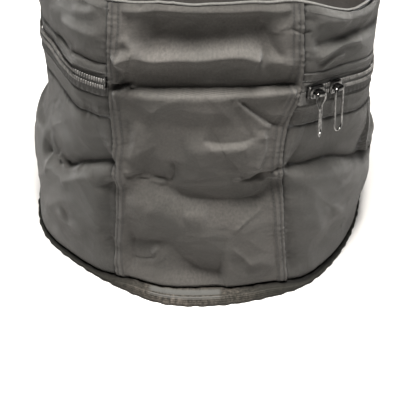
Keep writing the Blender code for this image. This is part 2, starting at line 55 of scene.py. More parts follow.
scene = bpy.context.scene


# The view: the bag is seen from above its hinge side, close enough to fill the picture,
# so that the lid's top shows only as a dark strip. Pixels are those of a 400 pixel square.
IMAGE_SIDE = 400
EYE_ANGLE = math.radians(32.7)
EYE_DISTANCE = 1.387
EYE_ROLL = math.radians(1.5)
FOCAL_PIXELS = 1393.0
AIM_POINT = Vector((0.0, 0.0, 0.15))
AIM_PIXEL = (206.5, 72.0)
SENSOR = 36.0

eye_back = Vector((0.0, -math.cos(EYE_ANGLE), math.sin(EYE_ANGLE)))
eye_place = AIM_POINT + EYE_DISTANCE * eye_back
level_right = Vector((1.0, 0.0, 0.0))
level_up = eye_back.cross(level_right)
rolled_right = math.cos(EYE_ROLL) * level_right + math.sin(EYE_ROLL) * level_up
rolled_up = eye_back.cross(rolled_right)
centre = 0.5 * IMAGE_SIDE
view_ahead = -FOCAL_PIXELS * eye_back + (centre - AIM_PIXEL[0]) * rolled_right
view_ahead -= (centre - AIM_PIXEL[1]) * rolled_up
view_ahead.normalize()
view_right = (rolled_right - rolled_right.dot(view_ahead) * view_ahead).normalized()
view_up = view_right.cross(view_ahead)


def add_object(name, data):
    made = bpy.data.objects.new(name, data)
    scene.collection.objects.link(made)
    return made


camera_data = bpy.data.cameras.new("view")
camera_data.sensor_width = SENSOR
camera_data.lens = FOCAL_PIXELS * SENSOR / IMAGE_SIDE
camera = add_object("view", camera_data)
camera.matrix_world = Matrix((view_right, view_up, -view_ahead)).transposed().to_4x4()
camera.matrix_world.translation = eye_place
scene.camera = camera
scene.view_settings.view_transform = "Standard"


def photo_direction(pixel):
    across = (pixel[0] - centre) * view_right
    down = (pixel[1] - centre) * view_up
    return (FOCAL_PIXELS * view_ahead + across - down).normalized()


# The studio: a pale floor that runs out of the picture, a wide soft lamp above and a dim one
# from each side, as in a shop's photograph with a white ground.
FLOOR_SIDE = 9.0
SKY_STRENGTH = 0.06
LAMPS = [
    ("top_lamp", (0.0, -0.27, 2.2), (0.0, 0.0, 0.1), 0.8, 258.0),
    ("left_lamp", (-2.2, -1.2, 1.3), (0.0, 0.0, 0.15), 1.4, 4.5),
    ("right_lamp", (2.2, -1.4, 1.1), (0.0, 0.0, 0.15), 1.4, 3.5),
]


def new_material(name):
    made = bpy.data.materials.new(name)
    made.use_nodes = True
    return made, made.node_tree, made.node_tree.nodes["Principled BSDF"]


def linked(tree, kind, inputs=None, **settings):
    node = tree.nodes.new(kind)
    for key, value in settings.items():
        setattr(node, key, value)
    for key, value in (inputs or {}).items():
        if isinstance(value, bpy.types.NodeSocket):
            tree.links.new(value, node.inputs[key])
        else:
            node.inputs[key].default_value = value
    return node


def mottled(tree, noise, dark, light, dark_share=0.0, light_share=1.0):
    """Two colours mixed by noise; gives the colour and the noise itself."""
    spots = linked(tree, "ShaderNodeTexNoise", noise).outputs["Fac"]
    tones = linked(tree, "ShaderNodeValToRGB", {"Fac": spots})
    first, last = tones.color_ramp.elements
    first.position = dark_share
    last.position = light_share
    first.color = (*dark, 1.0)
    last.color = (*light, 1.0)
    return tones.outputs["Color"], spots


def mesh_of(name, shape):
    mesh = bpy.data.meshes.new(name)
    shape.to_mesh(mesh)
    shape.free()
    return mesh


floor_paint, tree, shader = new_material("floor_paint")
tone, _ = mottled(tree, {"Scale": 9.0, "Detail": 3.0}, (0.42, 0.407, 0.39), (0.455, 0.447, 0.44))
tree.links.new(tone, shader.inputs["Base Color"])
shader.inputs["Roughness"].default_value = 0.6

floor_shape = bmesh.new()
bmesh.ops.create_grid(floor_shape, x_segments=2, y_segments=2, size=0.5 * FLOOR_SIDE)
floor = add_object("floor", mesh_of("floor", floor_shape))
floor.data.materials.append(floor_paint)

sky = bpy.data.worlds.new("sky")
scene.world = sky
sky.use_nodes = True
sky.node_tree.nodes["Background"].inputs["Color"].default_value = (1.0, 0.99, 0.97, 1.0)
sky.node_tree.nodes["Background"].inputs["Strength"].default_value = SKY_STRENGTH
for name, place, target, side, power in LAMPS:
    lamp_data = bpy.data.lights.new(name, "AREA")
    lamp_data.size = side
    lamp_data.energy = power
    lamp_data.color = (1.0, 0.985, 0.96)
    lamp = add_object(name, lamp_data)
    lamp.location = place
    lamp.rotation_euler = (Vector(target) - Vector(place)).to_track_quat("-Z", "Y").to_euler()


# The bag's wall, as the cloth would stand without folds: a round foot, a ring of zip that the
# slumped wall lets down towards the back, and the lid standing square on that ring.
joints = {joint["name"]: joint for joint in frame["joints"]}
zip_up = Vector(joints["slider_far_run"]["axis"]).normalized()
zip_across = Vector(joints["lid_hinge"]["axis"]).normalized()
zip_frame = Matrix((zip_across, zip_up.cross(zip_across), zip_up)).transposed().to_4x4()
zip_frame.translation = Vector(joints["slider_far_run"]["pos_m"])
zip_matrix = np.array(zip_frame)
zip_inverse = np.linalg.inv(zip_matrix)


def mesh_points(mesh):
    flat = np.zeros(3 * len(mesh.vertices))
    mesh.vertices.foreach_get("co", flat)
    return flat.reshape(-1, 3)


def node_points(name):
    return mesh_points(frame["nodes"][name].data)


def moved(matrix, points):
    return points @ matrix[:3, :3].T + matrix[:3, 3]


def in_zip_frame(name):
    return moved(zip_inverse, node_points(name))


def radii(points):
    return np.hypot(points[..., 0], points[..., 1])


lid_points = in_zip_frame("lid_wall_outer")
panel_points = in_zip_frame("hinge_panel_upper")
wall_points = node_points("lower_wall_outer")
ZIP_RADIUS = radii(lid_points[lid_points[:, 2] < lid_points[:, 2].min() + MM]).max()
HEM_HEIGHT = lid_points[:, 2].min()
LID_TOP = lid_points[:, 2].max()
FOOT_HEIGHT = wall_points[:, 2].min()
CASE_RADIUS = radii(wall_points[wall_points[:, 2] < FOOT_HEIGHT + MM]).max()
HINGE_FRONT = -(zip_inverse @ np.array([*joints["lid_hinge"]["pos_m"], 1.0]))[1]
PANEL_ANGLE = math.atan2(panel_points[:, 0].max(), -panel_points[:, 1].max())
FLANGE_FOOT = 0.0370
WALL_BULGE = 0.0050
LID_BULGE = 0.0035
CORNER_SOFTNESS = 0.0022
TURN = 2.0 * math.pi

flat_edge = ZIP_RADIUS * math.cos(PANEL_ANGLE)
bow_share = (HINGE_FRONT - flat_edge) / (ZIP_RADIUS - flat_edge)


def wrapped(angle):
    return (np.asarray(angle) + math.pi) % TURN - math.pi


def ring_radius(angle):
    turned = wrapped(angle)
    near = np.abs(turned) < 1.2
    cosine = np.where(near, np.cos(turned), 1.0)
    front = flat_edge + bow_share * (ZIP_RADIUS * cosine - flat_edge)
    flat = np.where(near, front / cosine, 2.0 * ZIP_RADIUS)
    over = np.clip((ZIP_RADIUS - flat) / CORNER_SOFTNESS, -30.0, 30.0)
    return ZIP_RADIUS - CORNER_SOFTNESS * np.log1p(np.exp(over))


def outward(angle):
    return np.stack([np.sin(angle), -np.cos(angle), np.zeros_like(angle)], axis=-1)


def ring_point(angle, height):
    flat = outward(angle) * ring_radius(angle)[..., None]
    flat[..., 2] = height
    return moved(zip_matrix, flat)


def foot_point(angle):
    return outward(angle) * CASE_RADIUS + np.array([0.0, 0.0, FOOT_HEIGHT])


def wall_height(angle):
    angle = np.asarray(angle, float)
    return np.linalg.norm(ring_point(angle, np.zeros_like(angle)) - foot_point(angle), axis=-1)


# A place on the cloth is an angle round the bag and a height along the wall from the zip's line.
def plain_wall(angle, rise):
    angle, rise = np.broadcast_arrays(np.asarray(angle, float), np.asarray(rise, float))
    height = wall_height(angle)
    share = np.clip(1.0 + rise / height, 0.0, 1.0)
    seam_share = 1.0 - FLANGE_FOOT / height
    foot = foot_point(angle)
    top = ring_point(angle, np.zeros_like(angle))
    swell = WALL_BULGE * np.sin(math.pi * np.minimum(1.0, share / seam_share))
    low = foot + (top - foot) * share[..., None] + outward(angle) * swell[..., None]
    lid_rise = np.clip((rise - HEM_HEIGHT) / (LID_TOP - HEM_HEIGHT), 0.0, 1.0)
    lean = outward(angle) @ zip_matrix[:3, :3].T
    swell = LID_BULGE * np.sin(math.pi * lid_rise)
    high = ring_point(angle, rise) + lean * swell[..., None]
    return np.where((rise > 0.0)[..., None], high, low)


def wall_out(angle, rise):
    angle, rise = np.broadcast_arrays(np.asarray(angle, float), np.asarray(rise, float))
    lean = outward(angle) @ zip_matrix[:3, :3].T
    part = np.clip(0.5 + rise / 0.03, 0.0, 1.0)[..., None]
    return outward(angle) * (1.0 - part) + lean * part


# Pixels to places: where a pixel lies on the cloth is found by looking along its line of sight
# at the plain wall, which stands there as a grid of triangles.
LOOK_STEPS = (180, 70)
LOOK_ROUND = 0.6 * math.pi
LOOK_ABOVE = 0.088
look_angles = np.linspace(-LOOK_ROUND, LOOK_ROUND, LOOK_STEPS[0])
look_shares = np.linspace(0.0, 1.0, LOOK_STEPS[1])
grid_angle, grid_share = np.meshgrid(look_angles, look_shares, indexing="ij")
grid_rise = (LOOK_ABOVE + wall_height(grid_angle)) * grid_share - wall_height(grid_angle)
look_points = [Vector(point) for point in plain_wall(grid_angle, grid_rise).reshape(-1, 3)]
look_spots = np.stack([grid_angle, grid_rise], axis=-1).reshape(-1, 2)
look_faces = []
for i in range(LOOK_STEPS[0] - 1):
    for j in range(LOOK_STEPS[1] - 1):
        k = i * LOOK_STEPS[1] + j
        beside = k + LOOK_STEPS[1]
        look_faces += [(k, beside, beside + 1), (k, beside + 1, k + 1)]
look_tree = BVHTree.FromPolygons(look_points, look_faces, all_triangles=True)


def cloth_spot(pixel):
    ray = photo_direction(pixel)
    place, _, face, _ = look_tree.ray_cast(eye_place, ray)
    if place is None:
        depth = -(eye_place - AIM_POINT).dot(ray)
        place, _, face, _ = look_tree.find_nearest(eye_place + depth * ray)
    corners = look_faces[face]
    flat = [Vector((*look_spots[k], 0.0)) for k in corners]
    spot = barycentric_transform(place, *[look_points[k] for k in corners], *flat)
    return spot.x, spot.y


def smooth_step(value, low, high):
    share = np.clip((np.asarray(value, float) - low) / (high - low), 0.0, 1.0)
    return share * share * (3.0 - 2.0 * share)


def hump(value, middle, reach):
    return np.exp(-(((value - middle) / reach) ** 2))


# The bag has gone out of round where the zip turns: how far it stands out (mm) and how far the
# zip hangs down (mm) round an angle (degrees) over a reach (degrees).
RING_SWELLS = [(-44, 5, 3.0), (-66, 12, -6.5), (-90, 14, -5.5), (60, 9, 5.0), (88, 14, -8.0)]
RING_SAGS = [(-38, 9, -2.8), (-61, 8, 2.0), (57, 8, -2.5), (78, 13, -8.0)]
# swells of the wall and the lid have a height above the zip and a reach of it too, both in mm
WALL_SWELLS = [
    (-80, 24, -68, 26, -6.0), (80, 22, -60, 30, 1.5), (80, 24, -112, 26, -1.5),
    (82, 24, 54, 34, -5.0), (80, 20, -152, 24, 4.0),
]
FOOT_SWELLS = [(-64, 15, 6.0), (-12, 11, 3.5), (34, 14, 2.5), (78, 26, -8.0)]
EDGE_SWELLS = [(0, 30, 9.0), (36, 12, 2.5)]
# heights between which the ring's swells and sags grow, and between which they fade again
SWELL_HEIGHTS = (-0.115, -0.050, 0.018, 0.060)
SAG_HEIGHTS = (-0.140, -0.030, 0.020, 0.070)
FOOT_REACH = 0.100


def ring_sum(angle, bumps):
    turned = np.degrees(wrapped(angle))
    return sum(MM * size * hump(turned, middle, reach) for middle, reach, size in bumps)


def near_zip(rise, low, full, fading, gone):
    return smooth_step(rise, low, full) * (1.0 - smooth_step(rise, fading, gone))


def swell(angle, rise):
    total = ring_sum(angle, RING_SWELLS) * near_zip(rise, *SWELL_HEIGHTS)
    turned = np.degrees(wrapped(angle))
    for middle, reach, low, tall, size in WALL_SWELLS:
        total = total + MM * size * hump(turned, middle, reach) * hump(rise / MM, low, tall)
    above_foot = rise + wall_height(angle)
    return total + ring_sum(angle, FOOT_SWELLS) * (1.0 - smooth_step(above_foot, 0.0, FOOT_REACH))


def hang(angle, rise):
    return ring_sum(angle, RING_SAGS) * near_zip(rise, *SAG_HEIGHTS)


# Seams and rim as lines of pixels, drawn over the photograph: the hinge panel's two seams and
# the lid's rim.
LEFT_SEAM = [
    (108, 2), (107, 30), (107, 60), (108, 84), (109, 105), (111, 125), (113, 145), (115, 162),
    (116, 185), (116, 215), (115, 245), (115, 278),
]
RIGHT_SEAM = [
    (304, 5), (304, 40), (304, 70), (303, 86), (297, 105), (289, 122), (284, 145), (282, 165),
    (283, 190), (284, 230), (286, 262), (287, 276),
]
RIM_LINE = [
    (112, 2), (150, 4), (200, 7), (235, 5), (262, 4), (290, 1), (307, 3), (320, 6), (335, 10),
    (350, 12), (362, 9), (372, 2),
]
RIM_RISE = LID_TOP + 0.0005


# Folds of the cloth. Each is a line of pixels with the reach (mm) of its side above or left of
# the line, the reach of the other side, its height (mm, negative is a valley), how round its
# crest is (1 is sharp), and the length (mm) over which its ends die out. FOLD_GAIN multiplies
# every height.
UNDERCUT = [
    (112, 82), (120, 84), (128, 85), (134, 87), (150, 89), (200, 89), (250, 88), (302, 86),
]
RIGHT_CREASE = [(283, 168), (298, 163), (330, 155), (356, 150), (372, 146)]
FOLDS = [
    # lid panel: a hollow under the rim, a ridge, the undercut and the lip of the fold at the hinge
    (26, 19, -8.6, 1.7, 22, [(128, 34), (160, 36), (200, 38), (245, 36), (285, 34)]),
    (5, 5, 2.2, 1.7, 12, [(118, 10), (160, 11), (200, 13), (250, 12), (298, 8)]),
    (7, 9, 6.2, 1.6, 8, [(114, 66), (125, 61), (150, 62), (175, 61), (200, 61), (240, 58), (264, 60)]),
    (7, 7, 2.5, 1.7, 10, [(262, 60), (280, 64), (300, 66)]),
    (17, 2.4, -5.4, 1.15, 6, UNDERCUT),
    (2.0, 1.4, -1.2, 1.0, 6, UNDERCUT),
    (1.8, 8.0, 3.0, 1.5, 6, [
        (114, 89), (122, 89), (129, 88.5), (136, 91), (160, 92.5), (200, 92.5), (260, 91.5), (298, 89.5),
    ]),
    (4, 5, 2.2, 1.7, 8, [(120, 34), (127, 45), (133, 54), (134, 62)]),
    (3, 4, -1.8, 1.7, 8, [(262, 18), (268, 34), (276, 50), (286, 62)]),
    (1.5, 2.5, -1.0, 1.0, 5, [(143, 2), (141, 7), (136, 13)]),
    (1.5, 2.5, -0.8, 1.0, 5, [(176, 3), (172, 6), (167, 10)]),
    # lower panel, above the middle
    (5, 2.5, -2.4, 1.0, 8, [(237, 96), (243, 103), (252, 111), (262, 118), (272, 123), (286, 126)]),
    (2.5, 7, 2.0, 1.4, 8, [(235, 99), (243, 107), (252, 115), (262, 123), (272, 128)]),
    (12, 2.4, -2.5, 1.1, 8, [(201, 141), (215, 144), (230, 144), (246, 141), (259, 136)]),
    (1.6, 8, 1.1, 1.5, 8, [(204, 146), (218, 148), (236, 148), (250, 145)]),
    (3, 6, 1.8, 1.4, 8, [(261, 130), (266, 142), (264, 158), (254, 172)]),
    (4, 5, 1.6, 1.5, 10, [(138, 120), (137, 134), (134, 150), (130, 164)]),
    (5, 5, -1.6, 1.6, 10, [(126, 118), (128, 135), (126, 155)]),
    (14, 12, 2.5, 1.7, 20, [(135, 112), (170, 110), (210, 112), (235, 118)]),
    (12, 18, 2.6, 1.7, 14, [(182, 150), (215, 151), (250, 149), (268, 146)]),
    # the buckle across the panel
    (30, 13, -7.4, 1.5, 14, [
        (124, 176), (150, 178), (170, 187), (190, 196), (215, 199), (245, 198), (264, 190), (280, 172),
    ]),
    (6, 3, -1.2, 1.0, 8, [(171, 195), (200, 198), (240, 198), (266, 198)]),
    (3, 3, 0.6, 1.5, 8, [(174, 185), (200, 186), (232, 185)]),
    (5, 1.8, -2.3, 1.0, 6, [(238, 181), (250, 178), (262, 172), (284, 166)]),
    (1.2, 2.0, 1.7, 1.2, 5, [(230, 180), (240, 180), (247, 178.5)]),
    (3, 9, 1.8, 1.5, 8, [(254, 183), (266, 178), (281, 173)]),
    (5, 1.8, -1.8, 1.0, 8, [(122, 175), (140, 176), (158, 176), (171, 178)]),
    (2, 2, 1.1, 1.5, 5, [(122, 171), (134, 172), (146, 172)]),
    (2, 10, 2.2, 1.5, 8, [(124, 180), (145, 180), (168, 184)]),
    (3, 4, -2.0, 1.1, 6, [(172, 160), (175, 172), (169, 183)]),
    (8, 9, 2.2, 1.6, 8, [(180, 217), (195, 216), (210, 217)]),
    (3, 4, 1.3, 1.2, 10, [(272, 198), (258, 212), (244, 224), (231, 235)]),
    (10, 12, 1.6, 1.7, 14, [(124, 205), (145, 208), (164, 214)]),
    # the foot of the panel: a light swell at the left that ends in a slanting edge
    (20, 26, -7.2, 1.35, 10, [
        (122, 240), (145, 240), (170, 243), (182, 256), (198, 267), (214, 275), (228, 281),
    ]),
    (2.5, 3, 1.5, 1.2, 3, [(152, 254), (157, 250), (161, 246)]),
    (2, 1.6, -1.2, 1.0, 4, [(133, 257), (145, 258), (155, 258)]),
    (3, 3, 0.9, 1.2, 10, [(229, 246), (242, 257), (254, 268)]),
    (8, 8, 1.4, 1.7, 12, [(240, 264), (262, 264), (278, 267)]),
    # left wall
    (24, 6.0, -5.8, 1.6, 12, [(42, 148), (56, 154), (74, 165), (84, 161), (98, 160), (118, 163)]),
    (3.5, 1.6, -2.8, 1.0, 6, [(66, 158), (73, 164), (80, 163), (85, 160), (98, 160), (117, 163)]),
    (1.6, 3.0, 2.6, 1.7, 5, [(60, 152), (66, 165), (72, 168), (79, 167), (86, 163)]),
    (2, 5, 0.9, 1.7, 8, [(86, 164), (100, 164), (116, 167)]),
    (4, 4, -2.0, 1.0, 8, [(92, 188), (102, 186), (112, 182), (119, 179)]),
    (5, 6, 1.6, 1.7, 8, [(60, 182), (80, 178), (96, 178)]),
    (16, 7, -4.6, 1.7, 16, [(108, 176), (110, 200), (110, 230), (112, 262)]),
    (2, 3, -0.9, 1.0, 5, [(103, 243), (108, 240), (114, 237)]),
    (6, 6, 1.4, 1.7, 12, [(54, 210), (70, 226), (90, 238)]),
    (5, 5, -1.2, 1.7, 14, [(58, 200), (66, 214), (72, 232)]),
    (4, 5, 1.2, 1.7, 12, [(46, 128), (50, 142), (48, 160), (46, 178)]),
    # right wall
    (32, 6, -7.4, 1.5, 12, RIGHT_CREASE),
    (3.0, 1.3, -1.7, 1.0, 6, RIGHT_CREASE),
    (1.6, 6, 1.0, 1.7, 8, [(286, 172), (300, 168), (330, 160), (366, 152), (378, 148)]),
    (7, 4, -2.0, 1.7, 14, [(286, 182), (286, 210), (288, 250), (292, 276)]),
    (10, 10, 1.4, 1.7, 16, [(310, 190), (318, 215), (322, 240)]),
    (5, 5, 1.0, 1.7, 14, [(330, 205), (342, 214), (352, 218)]),
    (2, 2, 0.6, 1.7, 3, [(341, 224), (342, 231)]),
    # right side of the lid
    (7, 4, -3.0, 1.7, 10, [(312, 50), (325, 42), (345, 34), (366, 26), (378, 20)]),
    (3, 3, 2.0, 1.7, 8, [(316, 62), (330, 54), (346, 44), (362, 38)]),
    (2, 3, 1.3, 1.7, 6, [(318, 70), (334, 60), (346, 54)]),
    (8, 6, 2.0, 1.7, 10, [(312, 24), (330, 22), (352, 20)]),
    (1.6, 1.6, -1.2, 1.0, 4, [(290, 27), (297, 31), (305, 33), (314, 31)]),
    # left side of the lid
    (4, 2.0, -2.0, 1.0, 6, [(70, 52), (80, 54), (88, 59), (96, 63), (108, 66)]),
    (3, 3, 1.8, 1.7, 8, [(56, 48), (64, 56), (72, 66), (78, 72)]),
    (6, 5, 1.4, 1.7, 12, [(60, 20), (76, 30), (92, 36), (104, 40)]),
    (5, 5, -1.4, 1.7, 10, [(56, 34), (66, 42), (76, 46)]),
    (5, 6, 1.6, 1.7, 10, [(70, 8), (84, 12), (100, 10)]),
    # band between the zip and the wall seam
    (3, 3, -0.9, 1.7, 5, [(322, 98), (320, 108), (319, 116)]),
    (3, 3, -0.8, 1.7, 5, [(344, 95), (343, 104), (341, 113)]),
    (3, 3, 0.9, 1.7, 5, [(333, 97), (332, 107), (331, 116)]),
    (3, 3, -0.9, 1.7, 5, [(88, 104), (86, 112), (84, 119)]),
    (3, 3, 0.8, 1.7, 5, [(98, 106), (97, 114), (96, 121)]),
]
FOLD_GAIN = 1.55
BACK_FOLDS = 46
FOLD_SEED = 11
BACK_FADE = 0.016
SHARP_CREST = 1.0
ROUND_CREST = 1.7
SHARP_SHARE = 0.35


def curve_through(spots, steps=6):
    spots = np.array(spots, float)
    ends = np.vstack([2 * spots[0] - spots[1], spots, 2 * spots[-1] - spots[-2]])
    line = []
    for a, b, c, d in zip(ends, ends[1:], ends[2:], ends[3:]):
        for share in np.arange(steps) / steps:
            cube = share ** 3
            square = share ** 2
            line.append(0.5 * (
                2 * b + (c - a) * share + (2 * a - 5 * b + 4 * c - d) * square
                + (3 * b - a - 3 * c + d) * cube
            ))
    line.append(spots[-1])
    return np.array(line)


back_folds = []
chance = np.random.default_rng(FOLD_SEED)
for k in range(BACK_FOLDS):
    start = math.radians(chance.uniform(78.0, 282.0))
    low = chance.uniform(-0.145, 0.07)
    length = chance.uniform(0.02, 0.09) / ZIP_RADIUS
    slant = chance.normal(0.0, 0.018)
    bend = chance.normal(0.0, 0.006)
    spots = [(start, low), (start + 0.5 * length, low + 0.5 * slant + bend), (start + length, low + slant)]
    height = MM * chance.choice([-2.6, -1.6, 1.4, 2.2])
    reaches = MM * chance.uniform(3.0, 10.0, 2)
    roundness = SHARP_CREST if chance.random() < SHARP_SHARE else ROUND_CREST
    back_folds.append((curve_through(spots), *reaches, height, roundness, BACK_FADE))
# the seen side's buckle runs on round the back, through these degrees and mm above the zip
BUCKLE = [
    (66, -98), (95, -94), (120, -84), (150, -76), (180, -72), (210, -76), (240, -84), (270, -92),
    (300, -92),
]
BUCKLE_FADE = 0.042
buckle = curve_through([(math.radians(turn), MM * rise) for turn, rise in BUCKLE])
back_folds.append((buckle, 0.024, 0.006, -0.0045, ROUND_CREST, BUCKLE_FADE))
back_folds.append((buckle + [0.0, -0.007], 0.003, 0.008, 0.0020, ROUND_CREST, BUCKLE_FADE))


def fold_relief(angle, rise):
    total = np.zeros_like(rise)
    for spots, above, below, height, roundness, fade in folds:
        middle = spots[:, 0].mean()
        line = np.stack([(spots[:, 0] - middle) * ZIP_RADIUS, spots[:, 1]], axis=1)
        across = wrapped(angle - middle) * ZIP_RADIUS
        reach = 3.2 * max(above, below)
        low, high = line.min(axis=0) - reach, line.max(axis=0) + reach
        near = (across > low[0]) & (across < high[0]) & (rise > low[1]) & (rise < high[1])
        if not near.any():
            continue
        x, y = across[near], rise[near]
        best = np.full(x.shape, 1e9)
        side = np.ones_like(x)
        along = np.zeros_like(x)
        travelled = 0.0
        for start, end in zip(line, line[1:]):
            step = end - start
            length = math.hypot(*step)
            if length < 0.01 * MM:
                continue
            share = np.clip(((x - start[0]) * step[0] + (y - start[1]) * step[1]) / length ** 2, 0.0, 1.0)
            gap_x = x - start[0] - share * step[0]
            gap_y = y - start[1] - share * step[1]
            gap = np.hypot(gap_x, gap_y)
            nearer = gap < best
            best = np.where(nearer, gap, best)
            side = np.where(nearer, np.sign(step[0] * gap_y - step[1] * gap_x), side)
            along = np.where(nearer, travelled + share * length, along)
            travelled += length
        spread = best / np.where(side >= 0.0, above, below)
        shape = np.exp(-spread ** roundness)
        ends = smooth_step(along, 0.0, fade) * smooth_step(travelled - along, 0.0, fade)
        total[near] += height * shape * ends
    return total


# Small uneven waves everywhere, as in any cloth that was stuffed and squeezed. Their directions,
# lengths and starts are a seeded random draw.
WAVE_COUNT = 26
waves = np.random.default_rng(5)
wave_turns = waves.uniform(0.0, TURN, WAVE_COUNT)
wave_lengths = waves.uniform(0.016, 0.060, WAVE_COUNT)
wave_starts = waves.uniform(0.0, TURN, WAVE_COUNT)

# short creases with sharp crests, deeper in some places than in others, from the same draw
CREASE_COUNT = 9
CREASE_HEIGHT = 0.00075
crease_turns = waves.uniform(0.0, TURN, CREASE_COUNT)
crease_lengths = waves.uniform(0.030, 0.075, CREASE_COUNT)
crease_starts = waves.uniform(0.0, TURN, (3, CREASE_COUNT))


def crumple(across, rise):
    total = np.zeros_like(rise)
    for turn, length, (start, place, level) in zip(crease_turns, crease_lengths, crease_starts.T):
        phase = TURN * (across * math.cos(turn) + rise * math.sin(turn)) / length + start
        phase = phase + 0.9 * np.sin(rise * 52.0 + place) + 0.7 * np.sin(across * 44.0 + level)
        patch = 0.5 + 0.5 * np.sin(across * 31.0 + place) * np.sin(rise * 37.0 + level)
        total += patch * (0.45 - np.sqrt(0.012 + np.abs(np.sin(0.5 * phase))))
    return CREASE_HEIGHT * total


def small_waves(angle, rise):
    across = wrapped(angle) * ZIP_RADIUS
    bent = across + 0.006 * np.sin(rise * 61.0 + 1.0) + 0.004 * np.sin(across * 47.0 + rise * 90.0)
    lifted = rise + 0.006 * np.sin(across * 53.0) + 0.004 * np.sin(rise * 77.0 - across * 60.0)
    total = np.zeros_like(rise)
    for turn, length, start in zip(wave_turns, wave_lengths, wave_starts):
        phase = TURN * (bent * math.cos(turn) + 1.4 * lifted * math.sin(turn)) / length + start
        total += length * np.cos(phase)
    seam = smooth_step(np.abs(np.abs(wrapped(angle)) - math.pi), 0.0, 0.08)
    return (0.0022 * total + crumple(bent, lifted)) * seam


# Sewn seams: the cloth dips sharply and then softly into the seam, and puckers between its
# stitches. The gap is how far a place is from the seam.
SEAM_SHARP = 0.0013
SEAM_SOFT = 0.006
PUCKER = 0.00035


def seam_relief(gap, rise, strength):
    far = np.abs(gap)
    dip = -0.0018 * np.exp(-far / SEAM_SHARP) - 0.0014 * np.exp(-far / SEAM_SOFT)
    pucker = np.sin(rise * 640.0 + 2.0 * np.sin(rise * 170.0)) * np.exp(-far / SEAM_SOFT)
    return strength * (dip + PUCKER * pucker)


# the hinge panel's edge is turned under and stands proud as far as the second row of stitches
STITCH_GAPS = (0.0042, 0.0094)


def panel_edge_relief(gap, rise):
    flat = smooth_step(gap, -0.0004, 0.0009) * (1.0 - smooth_step(gap, 0.0098, 0.0116))
    rows = sum(hump(gap, middle, 0.0008) for middle in STITCH_GAPS)
    pucker = np.sin(rise * 820.0 + 2.0 * np.sin(rise * 210.0)) * np.exp(-gap / 0.010)
    return 0.0015 * flat - 0.0006 * rows + 0.00025 * pucker


# the wall lies calm behind the handle, over this turn from the back, height and half height
HANDLE_CALM = (math.radians(40.0), -0.070, 0.034)


def cloth_points(angle, rise, relief=0.0):
    shifted = rise + hang(angle, rise)
    base = plain_wall(angle, shifted)
    out = wall_out(angle, shifted)
    reach, low, tall = HANDLE_CALM
    behind = 1.0 - smooth_step(math.pi - np.abs(wrapped(angle)), 0.85 * reach, 1.15 * reach)
    calm = 1.0 - behind * (1.0 - smooth_step(np.abs(rise - low), 0.8 * tall, 1.3 * tall))
    calm = calm * (0.3 + 0.7 * smooth_step(rise + wall_height(angle), 0.0, 0.018))
    stand = swell(angle, rise) + (fold_relief(angle, rise) + small_waves(angle, rise)) * calm + relief
    return base + out * stand[..., None]


# A stretch of cloth that stands out or hangs down is seen at another pixel than the plain wall
# under it, so each drawn line is shifted on the wall until it is seen where it was drawn.
SETTLE_STEPS = 4
LONGEST_SHIFT = 5.0


def seen_pixels(points):
    away = points - np.array(eye_place)
    depth = away @ np.array(view_ahead)
    across = FOCAL_PIXELS * (away @ np.array(view_right)) / depth
    up = FOCAL_PIXELS * (away @ np.array(view_up)) / depth
    return np.stack([centre + across, centre - up], axis=-1)


def shifted_aims(aims, wanted, spots):
    seen = seen_pixels(cloth_points(spots[:, 0], spots[:, 1]))
    return aims + np.clip(wanted - seen, -LONGEST_SHIFT, LONGEST_SHIFT)


def spots_of(pixels):
    return np.array([cloth_spot(pixel) for pixel in np.asarray(pixels, float).tolist()])


def settled_spots(pixels):
    wanted = np.array(pixels, float)
    aims = wanted
    for _ in range(SETTLE_STEPS):
        aims = shifted_aims(aims, wanted, spots_of(aims))
    return spots_of(aims)


lengths = np.cumsum([len(pixels) for *_, pixels in FOLDS])[:-1]
wanted_pixels = np.array([pixel for *_, pixels in FOLDS for pixel in pixels], float)
aims = wanted_pixels
for step in range(SETTLE_STEPS + 1):
    fold_spots = spots_of(aims)
    folds = list(back_folds)
    for (above, below, height, roundness, fade, _), spots in zip(FOLDS, np.split(fold_spots, lengths)):
        gained = FOLD_GAIN * MM * height
        folds.append((curve_through(spots), MM * above, MM * below, gained, roundness, MM * fade))
    aims = shifted_aims(aims, wanted_pixels, fold_spots)


def smoothed(values, reach):
    steps = np.arange(-3 * reach, 3 * reach + 1)
    weights = np.exp(-((steps / reach) ** 2))
    padded = np.pad(values, 3 * reach, mode="edge")
    return np.convolve(padded, weights / weights.sum(), mode="valid")


def seam_line(pixels):
    spots = sorted((rise, angle) for angle, rise in settled_spots(pixels))
    rises = np.linspace(-0.22, 0.09, 311)
    turns = np.interp(rises, [rise for rise, _ in spots], [angle for _, angle in spots])
    turns = smoothed(turns, 6)
    return lambda rise: np.interp(rise, rises, turns)


left_seam = seam_line(LEFT_SEAM)
right_seam = seam_line(RIGHT_SEAM)

rim_spots = settled_spots(RIM_LINE)
rim_turns = [-math.pi, -1.3] + [angle for angle, _ in rim_spots] + [1.75, math.pi]
rim_rises = [RIM_RISE, RIM_RISE - 0.003] + [rise for _, rise in rim_spots] + [RIM_RISE - 0.002, RIM_RISE]
rim_grid = np.linspace(-math.pi, math.pi, 721)
rim_curve = smoothed(np.interp(rim_grid, rim_turns, rim_rises), 5)


def rim_rise(angle):
    return np.interp(wrapped(angle), rim_grid, rim_curve)


def map_cloth(mesh, flat):
    layer = mesh.uv_layers.new(name="cloth")
    loops = np.zeros(len(mesh.loops), dtype=np.int32)
    mesh.loops.foreach_get("vertex_index", loops)
    layer.data.foreach_set("uv", flat[loops].ravel())


